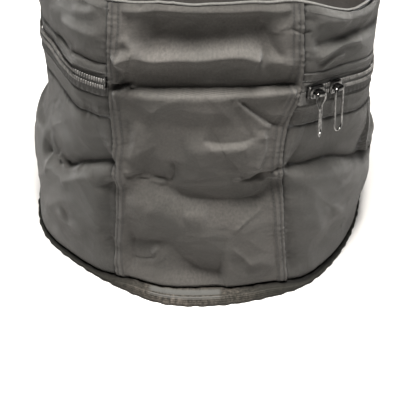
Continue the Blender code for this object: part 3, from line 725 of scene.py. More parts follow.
def grid_object(name, points, coords, round_columns=False, round_rows=False, caps="", painted_shade=None):
    """A mesh over rows and columns of points; caps names the rows that are closed: first, last."""
    rows, columns = points.shape[:2]
    index = np.arange(rows * columns).reshape(rows, columns)
    rims = []
    if "first" in caps:
        rims.append(index[0, ::-1].tolist())
    if "last" in caps:
        rims.append(index[-1].tolist())
    if round_columns:
        index = np.hstack([index, index[:, :1]])
    if round_rows:
        index = np.vstack([index, index[:1]])
    corners = np.stack([index[:-1, :-1], index[:-1, 1:], index[1:, 1:], index[1:, :-1]], axis=-1)
    mesh = bpy.data.meshes.new(name)
    mesh.from_pydata(points.reshape(-1, 3).tolist(), [], corners.reshape(-1, 4).tolist() + rims)
    mesh.shade_smooth()
    map_cloth(mesh, coords.reshape(-1, 2))
    # painted shade: a darkening per point, kept as an attribute that the cloth paints read
    if painted_shade is not None:
        shade_mask = mesh.attributes.new("painted_shade", "FLOAT", "POINT")
        shade_mask.data.foreach_set("value", np.clip(painted_shade, 0.0, 1.0).ravel())
    return add_object(name, mesh)


def show(made, paint, body, nodes=()):
    made.data.materials.clear()
    made.data.materials.append(paint)
    if body:
        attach(made, body)
    if nodes:
        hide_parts(*nodes)
    return made


# Nylon of the shell: a plain dark weave, washed out a little where it is rubbed, with a faint
# dusty bloom and a soft sheen, and painted shade that darkens it in the seams and stitch rows.
PAINTED_SHADE_DEPTH = 0.80


def worked(tree, operation, *values):
    return linked(tree, "ShaderNodeMath", dict(enumerate(values)), operation=operation).outputs["Value"]


def cloth_paint(name, dark, light, thread, rough=0.68, sheen=0.12, gloss=0.35):
    made, tree, shader = new_material(name)
    place = linked(tree, "ShaderNodeUVMap", uv_map="cloth").outputs["UV"]
    blotch = {"Vector": place, "Scale": 16.0, "Detail": 5.0, "Roughness": 0.6}
    tone, _ = mottled(tree, blotch, dark, light, 0.3, 0.7)
    fibres = {"Vector": place, "Scale": 430.0, "Detail": 3.0, "Roughness": 0.6}
    grain = linked(tree, "ShaderNodeTexNoise", fibres)
    speckle = linked(tree, "ShaderNodeMapRange", {
        "Value": grain.outputs["Fac"], "From Min": 0.3, "From Max": 0.7, "To Min": 0.72, "To Max": 1.28,
    })
    # painted shade: the colour is darkened by that attribute, for the shadow in seams, stitch rows and under
    # the wall's foot
    shade_mask = linked(tree, "ShaderNodeAttribute", attribute_name="painted_shade")
    unshaded_share = worked(tree, "MULTIPLY_ADD", shade_mask.outputs["Fac"], -PAINTED_SHADE_DEPTH, 1.0)
    bright = worked(tree, "MULTIPLY", speckle.outputs["Result"], unshaded_share)
    tinted = linked(tree, "ShaderNodeVectorMath", {0: tone}, operation="SCALE")
    tree.links.new(bright, tinted.inputs["Scale"])
    tree.links.new(tinted.outputs["Vector"], shader.inputs["Base Color"])
    weave = {"Vector": place, "Scale": 1.0 / (20.0 * thread) * TURN}
    warp = linked(tree, "ShaderNodeTexWave", weave, bands_direction="X")
    weft = linked(tree, "ShaderNodeTexWave", weave, bands_direction="Y")
    woven = worked(tree, "MULTIPLY", warp.outputs["Fac"], weft.outputs["Fac"])
    rumple = linked(tree, "ShaderNodeTexNoise", {"Vector": place, "Scale": 210.0, "Detail": 4.0})
    high = worked(tree, "MULTIPLY_ADD", rumple.outputs["Fac"], 0.9, woven)
    bump = linked(tree, "ShaderNodeBump", {"Strength": 0.55, "Distance": 0.0009, "Height": high})
    tree.links.new(bump.outputs["Normal"], shader.inputs["Normal"])
    shader.inputs["Roughness"].default_value = rough
    shader.inputs["Sheen Weight"].default_value = sheen
    shader.inputs["Sheen Roughness"].default_value = 0.4
    shader.inputs["Specular IOR Level"].default_value = gloss
    return made


panel_paint = cloth_paint("panel_nylon", (0.033, 0.031, 0.027), (0.050, 0.045, 0.040), 0.0006)
wall_paint = cloth_paint("wall_nylon", (0.0255, 0.0248, 0.0218), (0.041, 0.038, 0.034), 0.0006)


# Side wall of the case: one long piece of nylon over foam, from one seam of the hinge panel
# round the back to the other, sewn to the zip band above and let down over the binding below.
SEAM_RISE = -FLANGE_FOOT
FINE_TURN = math.radians(98.0)
FOOT_DROP = 0.0090
FINE_COLUMNS = 300
COARSE_COLUMNS = 100
# columns close to the seams, as shares of the side's length
SIDE_LENGTH = (TURN - 1.1) * 0.168
SEAM_SHARES = MM * np.array([0.5, 1.0, 1.5, 2.4, 3.2, 4.2, 4.8, 5.4]) / SIDE_LENGTH


def turns_between(start, end, fine, coarse):
    edges = [start, min(FINE_TURN, end), max(TURN - FINE_TURN, start), end]
    counts = [fine, coarse, fine]
    pieces = []
    for low, high, count in zip(edges, edges[1:], counts):
        pieces.append(np.linspace(low, high, count, endpoint=False))
    return np.append(np.concatenate(pieces), end)


def side_grid(rows, height=lambda angle, row: row + 0.0 * angle):
    shape = turns_between(0.5, TURN - 0.5, FINE_COLUMNS, COARSE_COLUMNS)
    spread = (shape - shape[0]) / (shape[-1] - shape[0])
    spread = np.unique(np.concatenate([spread, SEAM_SHARES, 1.0 - SEAM_SHARES]))
    row, spread = np.meshgrid(rows, spread, indexing="ij")
    angle = 0.5 + (TURN - 1.0) * spread
    for _ in range(3):
        rise = height(angle, row)
        angle = right_seam(rise) + (TURN + left_seam(rise) - right_seam(rise)) * spread
    return angle, height(angle, row)


def cloth_coords(angle, rise):
    return np.stack([wrapped(angle) * ZIP_RADIUS, rise], axis=-1)


def foot_drop(angle):
    return FOOT_DROP * smooth_step(np.abs(wrapped(angle)), math.radians(20.0), math.radians(38.0))


def let_down(points, angle, rise):
    above = rise + wall_height(angle)
    low = 1.0 - smooth_step(above, 0.0, 0.022)
    points[..., 2] -= foot_drop(angle) * low
    tuck = 0.0030 * smooth_step(above, 0.0, 0.004) - 0.0015
    return points + outward(angle) * (tuck * low)[..., None]


def side_gaps(angle, rise):
    turned = wrapped(angle)
    return np.minimum(np.abs(turned - right_seam(rise)), np.abs(turned - left_seam(rise))) * ZIP_RADIUS


# painted shade along a seam, darkest on its line
def seam_shade(gap):
    return hump(np.abs(gap), 0.0, 0.0017)


shares = np.linspace(0.0, 1.0, 132)
angle, rise = side_grid(shares, lambda a, share: SEAM_RISE - (1.0 - share) * (wall_height(a) + SEAM_RISE))
relief = seam_relief(side_gaps(angle, rise), rise, 1.0)
relief += seam_relief(SEAM_RISE - rise, angle * ZIP_RADIUS, 0.8)
points = let_down(cloth_points(angle, rise, relief), angle, rise)
# painted shade in the seams with the hinge panel and the zip band
painted_shade = seam_shade(side_gaps(angle, rise)) + 0.8 * seam_shade(SEAM_RISE - rise)
side_wall = grid_object("side_wall", points, cloth_coords(angle, rise), painted_shade=painted_shade)
show(side_wall, wall_paint, "case_body", ["lower_wall_outer"])


# Zip band: an unpadded strip between the wall's seam and the lower zip tape, drawn in a little
# and gathered by its stitches.
BAND_TOP = -0.0135
rows = np.append(np.linspace(SEAM_RISE, BAND_TOP, 26), [BAND_TOP, BAND_TOP - 0.0020])
angle, rise = side_grid(rows)
relief = seam_relief(side_gaps(angle, rise), rise, 0.8)
relief += seam_relief(rise - SEAM_RISE, angle * ZIP_RADIUS, 0.8)
relief += 0.0006 * hump(rise, BAND_TOP - 0.0030, 0.0022) - 0.0006 * hump(rise, -0.026, 0.006)
relief[-2:] -= 0.0011
points = cloth_points(angle, rise, relief)
# painted shade along the band's two seams
painted_shade = seam_shade(side_gaps(angle, rise)) + 0.5 * seam_shade(rise - SEAM_RISE)
zip_band = grid_object("zip_band", points, cloth_coords(angle, rise), painted_shade=painted_shade)
show(zip_band, wall_paint, "case_body", ["lower_zip_flange"])


# Hinge panel: one piece of nylon from the foot to the lid's rim, double stitched at both edges.
# It is the lid's hinge, creased at the zip's line.
rows = np.concatenate([np.linspace(0.0, 1.0, 230, endpoint=False) - 1.0, np.linspace(0.0, 1.0, 110)])
PANEL_WIDTH = 0.186
TURNED_IN = 0.0030
EDGE_GAPS = MM * np.array([0.0, 0.0, 0.5, 1.1, 2.0, 2.8, 3.5, 4.2, 4.9, 5.7, 6.8, 7.9, 8.7, 9.4, 10.1, 10.8])
edge_shares = EDGE_GAPS / PANEL_WIDTH
middle_shares = np.linspace(0.0118 / PANEL_WIDTH, 1.0 - 0.0118 / PANEL_WIDTH, 166)
columns = np.concatenate([edge_shares, middle_shares, 1.0 - edge_shares[::-1]])
row_grid, share = np.meshgrid(rows, columns, indexing="ij")
rise = np.where(row_grid < 0.0, row_grid * 0.212, row_grid * 0.0835)
for _ in range(2):
    angle = left_seam(rise) + (right_seam(rise) - left_seam(rise)) * share
    rise = np.where(row_grid < 0.0, row_grid * wall_height(angle), row_grid * rim_rise(angle))
left_gap = (angle - left_seam(rise)) * ZIP_RADIUS
right_gap = (right_seam(rise) - angle) * ZIP_RADIUS
relief = panel_edge_relief(left_gap, rise) + panel_edge_relief(right_gap, rise)
relief += seam_relief(np.minimum(left_gap, right_gap), rise, 0.15)
relief[:, [0, -1]] -= TURNED_IN
points = let_down(cloth_points(angle, rise, relief), angle, rise)
edge_gap = np.minimum(left_gap, right_gap)
# painted shade along the panel's edges and its stitch rows
painted_shade = 0.75 * sum(hump(edge_gap, middle, 0.0009) for middle in STITCH_GAPS)
painted_shade = painted_shade + hump(edge_gap, 0.0, 0.0004)
hinge_panel = grid_object("hinge_panel", points, cloth_coords(angle, rise), painted_shade=painted_shade)
show(hinge_panel, panel_paint, None, ["hinge_panel_lower", "hinge_fold", "hinge_panel_upper"])
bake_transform(hinge_panel)


# Side wall of the lid: one long piece of the same nylon, sewn to the hinge panel's edges and to
# the rim, with a turned hem that is stitched down over the upper zip tape.
rows = np.append([0.03, 0.0], np.linspace(0.0, 1.0, 84))
angle, rise = side_grid(rows, lambda a, share: HEM_HEIGHT + share * (rim_rise(a) - HEM_HEIGHT))
relief = seam_relief(side_gaps(angle, rise), rise, 1.0)
relief += 0.0011 * (1.0 - smooth_step(rise, 0.0165, 0.0185)) - 0.0006 * hump(rise, 0.0180, 0.0010)
relief += 0.0016 * hump(rim_rise(angle) - rise, 0.006, 0.005)
relief[:2] -= 0.0012
points = cloth_points(angle, rise, relief)
# painted shade along the side seams and the hem's stitch row
painted_shade = seam_shade(side_gaps(angle, rise)) + 0.5 * hump(rise, 0.0180, 0.0009)
lid_wall = grid_object("lid_wall", points, cloth_coords(angle, rise), painted_shade=painted_shade)
show(lid_wall, wall_paint, "lid", ["lid_wall_outer"])


# Padding of the case: foam in a dark lining, one soft shell that follows the outer cloth's
# folds and ends in a rolled edge just under the zip.
SKIN = 0.0024
PAD = 0.0072
PAD_EDGE = 0.0072
ROUND_COLUMNS = 300


def rolled_profile(count_side, count_edge):
    """Depth (0 outer, 1 inner) and rise share of a pad's section, from the outer foot to the inner."""
    out = [(0.0, share) for share in np.linspace(0.0, 1.0, count_side)]
    turn = [(0.5 - 0.5 * math.cos(t), 1.0 + math.sin(t)) for t in np.linspace(0.0, math.pi, count_edge)[1:-1]]
    back = [(1.0, share) for share in np.linspace(1.0, 0.0, count_side)]
    return np.array(out + turn + back)


def pad_points(angle, rise, depth):
    lined = cloth_points(angle, rise, -SKIN)
    return lined - wall_out(angle, rise) * (PAD * depth)[..., None]


around = np.linspace(0.0, TURN, ROUND_COLUMNS, endpoint=False)
section = rolled_profile(46, 8)
depth, angle = np.meshgrid(section[:, 0], around, indexing="ij")
height = np.broadcast_to(section[:, 1][:, None], angle.shape)
side = np.minimum(height, 1.0)
edge = np.maximum(height - 1.0, 0.0) * 0.5 * PAD
rise = -PAD_EDGE - 0.5 * PAD - (1.0 - side) * (wall_height(angle) - 0.012) + edge
points = pad_points(angle, rise, depth)
case_padding = grid_object("case_padding", points, cloth_coords(angle, rise), round_columns=True)
lining_paint = cloth_paint(
    "lining", (0.030, 0.030, 0.032), (0.045, 0.045, 0.046), 0.0004, rough=0.6, sheen=0.25,
)
show(case_padding, lining_paint, "case_body", ["lower_wall_foam", "lower_wall_lining"])


# Lid top and its padding: the skin is drawn down over foam to the rim and sags where nothing
# inside holds it up; the padding is one soft cup behind the lid's wall and top.
TOP_RISE = LID_TOP + 0.0045
PIPE = 0.0014
TOP_ROWS = 58


def top_rise(share, angle):
    rim = rim_rise(angle) + 0.0012
    crown = TOP_RISE - 0.0035 * hump(share, 0.0, 0.55) - 0.0016 * hump(share, 0.955, 0.03)
    quilt = 0.0014 * np.sin(7.0 * share + 3.0 * np.sin(angle)) * np.sin(2.0 * angle + 4.0 * share)
    quilt = quilt * (1.0 - share ** 4) * smooth_step(share, 0.0, 0.25)
    return rim * share ** 7 + crown * (1.0 - share ** 7) + quilt


def edge_stand(angle):
    rise = rim_rise(angle)
    return swell(angle, rise) + fold_relief(angle, rise) + small_waves(angle, rise)


def top_points(share, angle, below=0.0, inset=0.0):
    reach = (ring_radius(angle) - 2.0 * PIPE - inset) * share + edge_stand(angle) * share ** 4
    flat = outward(angle) * reach[..., None]
    flat[..., 2] = top_rise(share, angle) - below
    return moved(zip_matrix, flat)


share, angle = np.meshgrid(1.0 - np.linspace(0.0, 0.985, TOP_ROWS), around, indexing="ij")
points = top_points(share, angle)
flat_coords = np.stack([share * np.sin(angle), -share * np.cos(angle)], axis=-1) * ZIP_RADIUS
lid_top = grid_object("lid_top", points, flat_coords, round_columns=True, caps="last")
# the lid top's cloth is painted near black: painted shade for the sunken top behind the rim
shaded_top_paint = cloth_paint(
    "top_nylon_painted_shade", (0.010, 0.009, 0.008), (0.017, 0.015, 0.014), 0.0006, rough=0.9, sheen=0.0, gloss=0.08,
)
show(lid_top, shaded_top_paint, "lid", ["lid_top_outer"])

inner_rows = np.linspace(0.03, 1.0, 30)
wall_rows = np.linspace(0.0, 1.0, 26)
loops = []
pad_columns = around[::2]


def lid_ring(rise, depth):
    return pad_points(pad_columns, rise, np.full_like(pad_columns, depth))


top_edge = rim_rise(pad_columns) - 0.0045
LID_PAD_EDGE = 0.0098
low_edge = LID_PAD_EDGE + 0.5 * PAD
for share in inner_rows:
    loops.append(top_points(np.full_like(pad_columns, share), pad_columns, below=0.0026, inset=0.003))
for share in wall_rows:
    loops.append(lid_ring(top_edge + (low_edge - top_edge) * share, 0.0))
for turn in np.linspace(0.0, math.pi, 8)[1:-1]:
    loops.append(lid_ring(low_edge - 0.5 * PAD * math.sin(turn) + 0.0 * top_edge, 0.5 - 0.5 * math.cos(turn)))
for share in wall_rows[::-1]:
    loops.append(lid_ring(top_edge - 0.009 + (low_edge - top_edge + 0.009) * share, 1.0))
for share in inner_rows[::-1]:
    loops.append(top_points(np.full_like(pad_columns, share), pad_columns, below=0.0026 + PAD, inset=0.013))
points = np.array(loops)[::-1]
row_place = np.cumsum(np.full(len(loops), 0.004))
coords = np.stack(np.broadcast_arrays(pad_columns * ZIP_RADIUS, row_place[:, None]), axis=-1).copy()
level = ZIP_RADIUS * inner_rows[:, None, None] * outward(pad_columns)[None, :, :2]
coords[:len(inner_rows)] = level
coords[-len(inner_rows):] = level[::-1]
lid_padding = grid_object("lid_padding", points, coords, round_columns=True, caps="first last")
show(
    lid_padding, lining_paint, "lid",
    ["lid_wall_foam", "lid_wall_lining", "lid_top_foam", "lid_top_lining"],
)


# Rim of the lid: piping, a thin core covered with nylon tape, sewn in between the lid's wall and
# its top. The tape is painted paler than the cloth beside it: a painted highlight on the rim's raised edge.
def tube_points(path, frames_up, radius, sides=10):
    path = np.asarray(path)
    ahead = np.roll(path, -1, axis=0) - np.roll(path, 1, axis=0)
    ahead /= np.linalg.norm(ahead, axis=1, keepdims=True)
    across = np.cross(ahead, frames_up)
    across /= np.linalg.norm(across, axis=1, keepdims=True)
    up = np.cross(across, ahead)
    turns = np.linspace(0.0, TURN, sides, endpoint=False)
    ring = np.cos(turns)[:, None, None] * across + np.sin(turns)[:, None, None] * up
    return path + ring * radius


rim_angles = np.linspace(0.0, TURN, 720, endpoint=False)
reach = ring_radius(rim_angles) - PIPE + 0.0006
path = outward(rim_angles) * reach[:, None]
path[:, 2] = rim_rise(rim_angles) + 0.0006
path = moved(zip_matrix, path) + outward(rim_angles) * edge_stand(rim_angles)[:, None]
ups = np.broadcast_to(np.array(zip_up), path.shape)
points = tube_points(path, ups, PIPE)
coords = np.stack(np.broadcast_arrays(rim_angles * ZIP_RADIUS, np.arange(10)[:, None] * 0.0011), axis=-1)
lid_rim = grid_object("lid_rim", points, coords, round_columns=True, round_rows=True)
# painted highlight: the rim's tape is painted about twice as pale as the wall's nylon
lit_rim_paint = cloth_paint("rim_nylon_painted_highlight", (0.058, 0.056, 0.051), (0.090, 0.087, 0.080), 0.0006)
show(lid_rim, lit_rim_paint, "lid", ["lid_rim_piping"])


# Foot: a tape bound round the edge of the base, dusty and worn to a grey fuzz where the bag
# has been set down on its front, over a base panel of coarser cloth.
FOOT_RADIUS = radii(node_points("base_binding")).max()
BINDING_TOP = node_points("base_binding")[:, 2].max()
BINDING_INNER = radii(node_points("base_binding")).min()
binding_angles = np.linspace(0.0, TURN, 720, endpoint=False)
edge_top = BINDING_TOP - 0.9 * foot_drop(binding_angles)
wobble = 0.00035 * np.sin(binding_angles * 61.0) + 0.0003 * np.sin(binding_angles * 97.0 + 1.0)
stand = ring_sum(binding_angles, FOOT_SWELLS)
front_stand = ring_sum(binding_angles, EDGE_SWELLS)
EDGE_ROUND = 0.0030
EDGE_START = FOOT_RADIUS - 0.0060


def rounded(turn, up, side):
    rest = side * EDGE_ROUND * (1.0 + side * math.sin(turn))
    return FOOT_RADIUS - EDGE_ROUND * (1.0 - math.cos(turn)), up, rest


# the binding's section from inside over its top and down: radius, share of the height, rest of it
profile = [(BINDING_INNER, 1.0, 0.0), (EDGE_START, 1.0, 0.0)]
profile += [rounded(turn, 1.0, -1.0) for turn in np.linspace(0.5 * math.pi, 0.0, 7)]
profile += [(FOOT_RADIUS, share, 0.0) for share in (0.75, 0.5)]
profile += [rounded(turn, 0.0, 1.0) for turn in np.linspace(0.0, -0.5 * math.pi, 7)]
profile.append((BINDING_INNER, 0.0, 0.0))
rows, dusty, rubbed = [], [], []
for radius, up, rest in profile:
    height = edge_top * (up + rest / BINDING_TOP)
    moving = smooth_step(radius, BINDING_INNER, EDGE_START)
    slope = 1.0 - np.clip(height / BINDING_TOP, 0.0, 1.0)
    reach = radius + (wobble + stand + front_stand * (0.15 + 0.85 * slope)) * moving
    ring = outward(binding_angles) * reach[:, None]
    ring[:, 2] = height + (wobble if up else 0.0)
    rows.append(ring)
    dusty.append(hump(np.degrees(wrapped(binding_angles)), -4.0, 21.0) * moving)
    turned = np.degrees(wrapped(binding_angles))
    strip = smooth_step(turned, -17.0, -15.5) * (1.0 - smooth_step(turned, 5.5, 7.0))
    rubbed.append(strip * (1.0 if up >= 0.75 and rest > -0.0020 and radius > FOOT_RADIUS - 0.0040 else 0.0))
points_of_edge = np.array(rows)
row_place = np.arange(len(profile)) * 0.0016
coords = np.stack(np.broadcast_arrays(wrapped(binding_angles) * FOOT_RADIUS, row_place[:, None]), axis=-1)
# painted shade on the binding's top, where the wall's foot hangs over it
SHADED_ROWS = [1.0, 1.0, 1.0, 0.9, 0.6, 0.3]
painted_shade = np.zeros(points_of_edge.shape[:2])
painted_shade[:len(SHADED_ROWS)] = np.array(SHADED_ROWS)[:, None]
base_binding = grid_object(
    "base_edge", points_of_edge[::-1], coords, round_columns=True, round_rows=True, painted_shade=painted_shade[::-1],
)
dust = base_binding.data.attributes.new("dust", "FLOAT", "POINT")
dust.data.foreach_set("value", np.array(dusty)[::-1].ravel())
worn = base_binding.data.attributes.new("rubbed", "FLOAT", "POINT")
worn.data.foreach_set("value", np.array(rubbed)[::-1].ravel())
binding_paint = cloth_paint("binding", (0.012, 0.012, 0.010), (0.020, 0.019, 0.016), 0.0009)
edge_paint = cloth_paint(
    "dusty_edge", (0.009, 0.009, 0.007), (0.016, 0.015, 0.012), 0.0009, sheen=0.0, gloss=0.15,
)
tree = edge_paint.node_tree
shader = tree.nodes["Principled BSDF"]
cloth_tone = shader.inputs["Base Color"].links[0].from_socket
place = linked(tree, "ShaderNodeUVMap", uv_map="cloth").outputs["UV"]
clumps = {"Vector": place, "Scale": 330.0, "Detail": 4.0, "Roughness": 0.7}
fluff, _ = mottled(tree, clumps, (0.010, 0.009, 0.007), (0.078, 0.067, 0.056), 0.36, 0.66)
amount = linked(tree, "ShaderNodeAttribute", attribute_name="dust")
patches = linked(tree, "ShaderNodeTexNoise", {"Vector": place, "Scale": 34.0, "Detail": 3.0})
spread = linked(tree, "ShaderNodeMapRange", {
    "Value": patches.outputs["Fac"], "From Min": 0.30, "From Max": 0.62, "To Min": 0.35, "To Max": 1.0,
})
cover = worked(tree, "MULTIPLY", amount.outputs["Fac"], spread.outputs["Result"])
mixed = linked(tree, "ShaderNodeMix", {"Factor": cover}, data_type="RGBA")
tree.links.new(cloth_tone, mixed.inputs[6])
tree.links.new(fluff, mixed.inputs[7])
bare = linked(tree, "ShaderNodeAttribute", attribute_name="rubbed")
strip = linked(tree, "ShaderNodeMix", {"Factor": bare.outputs["Fac"]}, data_type="RGBA")
tree.links.new(mixed.outputs[2], strip.inputs[6])
strip.inputs[7].default_value = (0.056, 0.055, 0.051, 1.0)
tree.links.new(strip.outputs[2], shader.inputs["Base Color"])
show(base_binding, edge_paint, "case_body", ["base_binding"])


# Repeats: one small modelled piece, set at even steps along lines on the cloth, each turned a
# little at random. The lines carry the way the cloth faces.
def repeat_tree():
    tree = bpy.data.node_groups.new("set_along_lines", "GeometryNodeTree")
    face = tree.interface
    face.new_socket("Geometry", in_out="INPUT", socket_type="NodeSocketGeometry")
    for name, kind in (
        ("Piece", "NodeSocketObject"), ("Step", "NodeSocketFloat"), ("Turn", "NodeSocketFloat"),
        ("Seed", "NodeSocketInt"), ("Paint", "NodeSocketMaterial"),
    ):
        face.new_socket(name, in_out="INPUT", socket_type=kind)
    face.new_socket("Geometry", in_out="OUTPUT", socket_type="NodeSocketGeometry")
    given = tree.nodes.new("NodeGroupInput").outputs
    lines = linked(tree, "GeometryNodeMeshToCurve", {"Mesh": given["Geometry"]})
    spots = linked(tree, "GeometryNodeCurveToPoints", {"Curve": lines.outputs["Curve"]}, mode="LENGTH")
    tree.links.new(given["Step"], spots.inputs["Length"])
    facing = linked(tree, "GeometryNodeInputNamedAttribute", {"Name": "facing"}, data_type="FLOAT_VECTOR")
    ahead = linked(tree, "FunctionNodeAlignRotationToVector", {"Vector": spots.outputs["Tangent"]}, axis="X")
    level = linked(
        tree, "FunctionNodeAlignRotationToVector",
        {"Rotation": ahead.outputs["Rotation"], "Vector": facing.outputs["Attribute"]},
        axis="Z", pivot_axis="X",
    )
    least = worked(tree, "MULTIPLY", given["Turn"], -1.0)
    shake = linked(
        tree, "FunctionNodeRandomValue",
        {"Min": least, "Max": given["Turn"], "Seed": given["Seed"]}, data_type="FLOAT_VECTOR",
    )
    turn = linked(tree, "FunctionNodeEulerToRotation", {"Euler": shake.outputs["Value"]})
    turned = linked(
        tree, "FunctionNodeRotateRotation",
        {"Rotation": level.outputs["Rotation"], "Rotate By": turn.outputs["Rotation"]},
        rotation_space="LOCAL",
    )
    piece = linked(tree, "GeometryNodeObjectInfo", {"Object": given["Piece"], "As Instance": True})
    copies = linked(
        tree, "GeometryNodeInstanceOnPoints",
        {
            "Points": spots.outputs["Points"], "Instance": piece.outputs["Geometry"],
            "Rotation": turned.outputs["Rotation"],
        },
    )
    real = linked(tree, "GeometryNodeRealizeInstances", {"Geometry": copies.outputs["Instances"]})
    painted = linked(
        tree, "GeometryNodeSetMaterial", {"Geometry": real.outputs["Geometry"], "Material": given["Paint"]},
    )
    out = tree.nodes.new("NodeGroupOutput")
    tree.links.new(painted.outputs["Geometry"], out.inputs["Geometry"])
    return tree


repeats = repeat_tree()
repeat_inputs = [item for item in repeats.interface.items_tree if item.in_out == "INPUT"]
repeat_sockets = {item.name: item.identifier for item in repeat_inputs}


def set_along(name, lines, facings, piece, step, paint, turn=0.05, seed=1):
    mesh = bpy.data.meshes.new(name)
    joined = np.vstack(lines)
    edges = []
    first = 0
    for line in lines:
        edges += [(k, k + 1) for k in range(first, first + len(line) - 1)]
        first += len(line)
    mesh.from_pydata(joined.tolist(), edges, [])
    facing = mesh.attributes.new("facing", "FLOAT_VECTOR", "POINT")
    facing.data.foreach_set("vector", np.vstack(facings).ravel())
    guide = add_object(name + "_line", mesh)
    maker = guide.modifiers.new("repeat", "NODES")
    maker.node_group = repeats
    values = {"Piece": piece, "Step": step, "Turn": turn, "Seed": seed, "Paint": paint}
    for key, value in values.items():
        maker[repeat_sockets[key]] = value
    ready = guide.evaluated_get(bpy.context.evaluated_depsgraph_get())
    made = add_object(name, bpy.data.meshes.new_from_object(ready))
    bpy.data.objects.remove(guide, do_unlink=True)
    made.data.shade_smooth()
    return made


def skin(shape, rings):
    """Faces between rings of points, closed at both ends."""
    count = len(rings[0])
    for low, high in zip(rings, rings[1:]):
        for k in range(count):
            after = (k + 1) % count
            shape.faces.new((low[k], high[k], high[after], low[after]))
    shape.faces.new(rings[0])
    shape.faces.new(rings[-1][::-1])
    bmesh.ops.recalc_face_normals(shape, faces=shape.faces)


def lathe_piece(name, profile, sides=8, flat=1.0):
    """A small piece turned round its Y axis from (place along Y, radius) pairs, flattened in Z."""
    shape = bmesh.new()
    rings = []
    for place, radius in profile:
        ring = []
        for turn in np.linspace(0.0, TURN, sides, endpoint=False):
            ring.append(shape.verts.new((radius * math.cos(turn), place, flat * radius * math.sin(turn))))
        rings.append(ring)
    skin(shape, rings)
    return bpy.data.objects.new(name, mesh_of(name, shape))


# Zip: two woven tapes with a row of nylon coil each, which mesh at the zip's line. The lower
# half is sewn to the case and the upper half to the lid, from one end stop round to the other.
TAPE_RADIUS = radii(in_zip_frame("upper_zip_tape")).max()
COIL_RADIUS = radii(in_zip_frame("upper_zip_coil")).max()
COIL_HALF = in_zip_frame("upper_zip_coil")[:, 2].max()
TAPE_TOP = in_zip_frame("upper_zip_tape")[:, 2].max()
TAPE_THICK = 0.0007
TAPE_SLIT = 0.00005
TOOTH_STEP = 0.0026
TOOTH_THICK = 0.00072
stop_points = in_zip_frame("zip_stop_right")
ZIP_START = math.atan2(stop_points[:, 0].min(), -stop_points[:, 1].min())
COIL_START = math.atan2(stop_points[:, 0].max(), -stop_points[:, 1].max()) + 0.0004
soft_points = in_zip_frame("upper_zip_tape_end_right")
SOFT_END = math.atan2(soft_points[:, 0].max(), -soft_points[:, 1].max())


def zip_wave(angle):
    still = 1.0 - hump(np.degrees(wrapped(angle)), 39.5, 9.0) - hump(np.degrees(wrapped(angle)), -36.0, 6.0)
    return 0.0006 * np.clip(still, 0.0, 1.0) * np.sin(9.0 * angle + np.sin(5.0 * angle))


def zip_points(angle, rise, radius):
    flat = outward(angle) * (radius + ring_sum(angle, RING_SWELLS))[..., None]
    flat[..., 2] = rise + ring_sum(angle, RING_SAGS) + zip_wave(angle)
    return moved(zip_matrix, flat)


def thickened(made, thickness):
    thick = made.modifiers.new("thickness", "SOLIDIFY")
    thick.thickness = thickness
    return made


def tape_object(name, angles, rows, edge):
    """A tape that comes forward to the cloth at its edge and lies behind the cloth past it."""
    rise, angle = np.meshgrid(rows, angles, indexing="ij")
    ripple = 0.0003 * np.sin(angle * 190.0) * smooth_step(np.abs(rise), 0.006, 0.012)
    stand = np.interp(np.abs(rise), [COIL_HALF, edge, edge + 0.0035, 0.0205], [0.0, 0.0010, -0.0010, -0.0018])
    cloth = radii(moved(zip_inverse, cloth_points(angle, rise, -0.0013))) - ring_sum(angle, RING_SWELLS)
    turned = wrapped(angle)
    under = (np.abs(rise) > edge) | ((turned > left_seam(rise) - 0.003) & (turned < right_seam(rise) + 0.003))
    radius = TAPE_RADIUS + stand + ripple
    radius = np.where(under, np.minimum(radius, cloth), radius)
    made = grid_object(name, zip_points(angle, rise, radius), cloth_coords(angle, rise))
    return thickened(made, TAPE_THICK)


tape_paint = cloth_paint("zip_tape", (0.020, 0.019, 0.017), (0.032, 0.030, 0.027), 0.0008, rough=0.75)
coil_paint, tree, shader = new_material("zip_coil")
place = linked(tree, "ShaderNodeTexCoord").outputs["Object"]
worn = {"Vector": place, "Scale": 240.0, "Detail": 3.0}
tone, _ = mottled(tree, worn, (0.050, 0.048, 0.045), (0.20, 0.19, 0.18), 0.35, 0.75)
tree.links.new(tone, shader.inputs["Base Color"])
shader.inputs["Roughness"].default_value = 0.42

HALF_TOOTH = 0.0036
tooth = lathe_piece(
    "zip_tooth",
    [
        (-0.5 * HALF_TOOTH, 0.45 * TOOTH_THICK), (-0.46 * HALF_TOOTH, 0.85 * TOOTH_THICK),
        (-0.36 * HALF_TOOTH, TOOTH_THICK), (0.30 * HALF_TOOTH, TOOTH_THICK),
        (0.44 * HALF_TOOTH, 0.92 * TOOTH_THICK), (0.5 * HALF_TOOTH, 0.50 * TOOTH_THICK),
    ],
    sides=8, flat=1.3,
)


def coil_object(name, angles, side):
    middle = side * (COIL_HALF - 0.0003 - 0.5 * HALF_TOOTH)
    line = zip_points(angles, np.full_like(angles, middle), COIL_RADIUS - 1.25 * TOOTH_THICK)
    facing = outward(angles) @ zip_matrix[:3, :3].T
    return set_along(name, [line], [facing], tooth, TOOTH_STEP, coil_paint, turn=0.035, seed=4)


RIB_TURN = 0.006


def rib_angles(start, end):
    ribs = RIB_TURN * np.arange(math.ceil(start / RIB_TURN), math.ceil(end / RIB_TURN))
    return np.unique(np.concatenate([[start], ribs, [end]]))


half_step = 0.5 * TOOTH_STEP / ZIP_RADIUS
BEND_SHARE = 0.5
lower_angles = rib_angles(COIL_START, TURN - COIL_START)
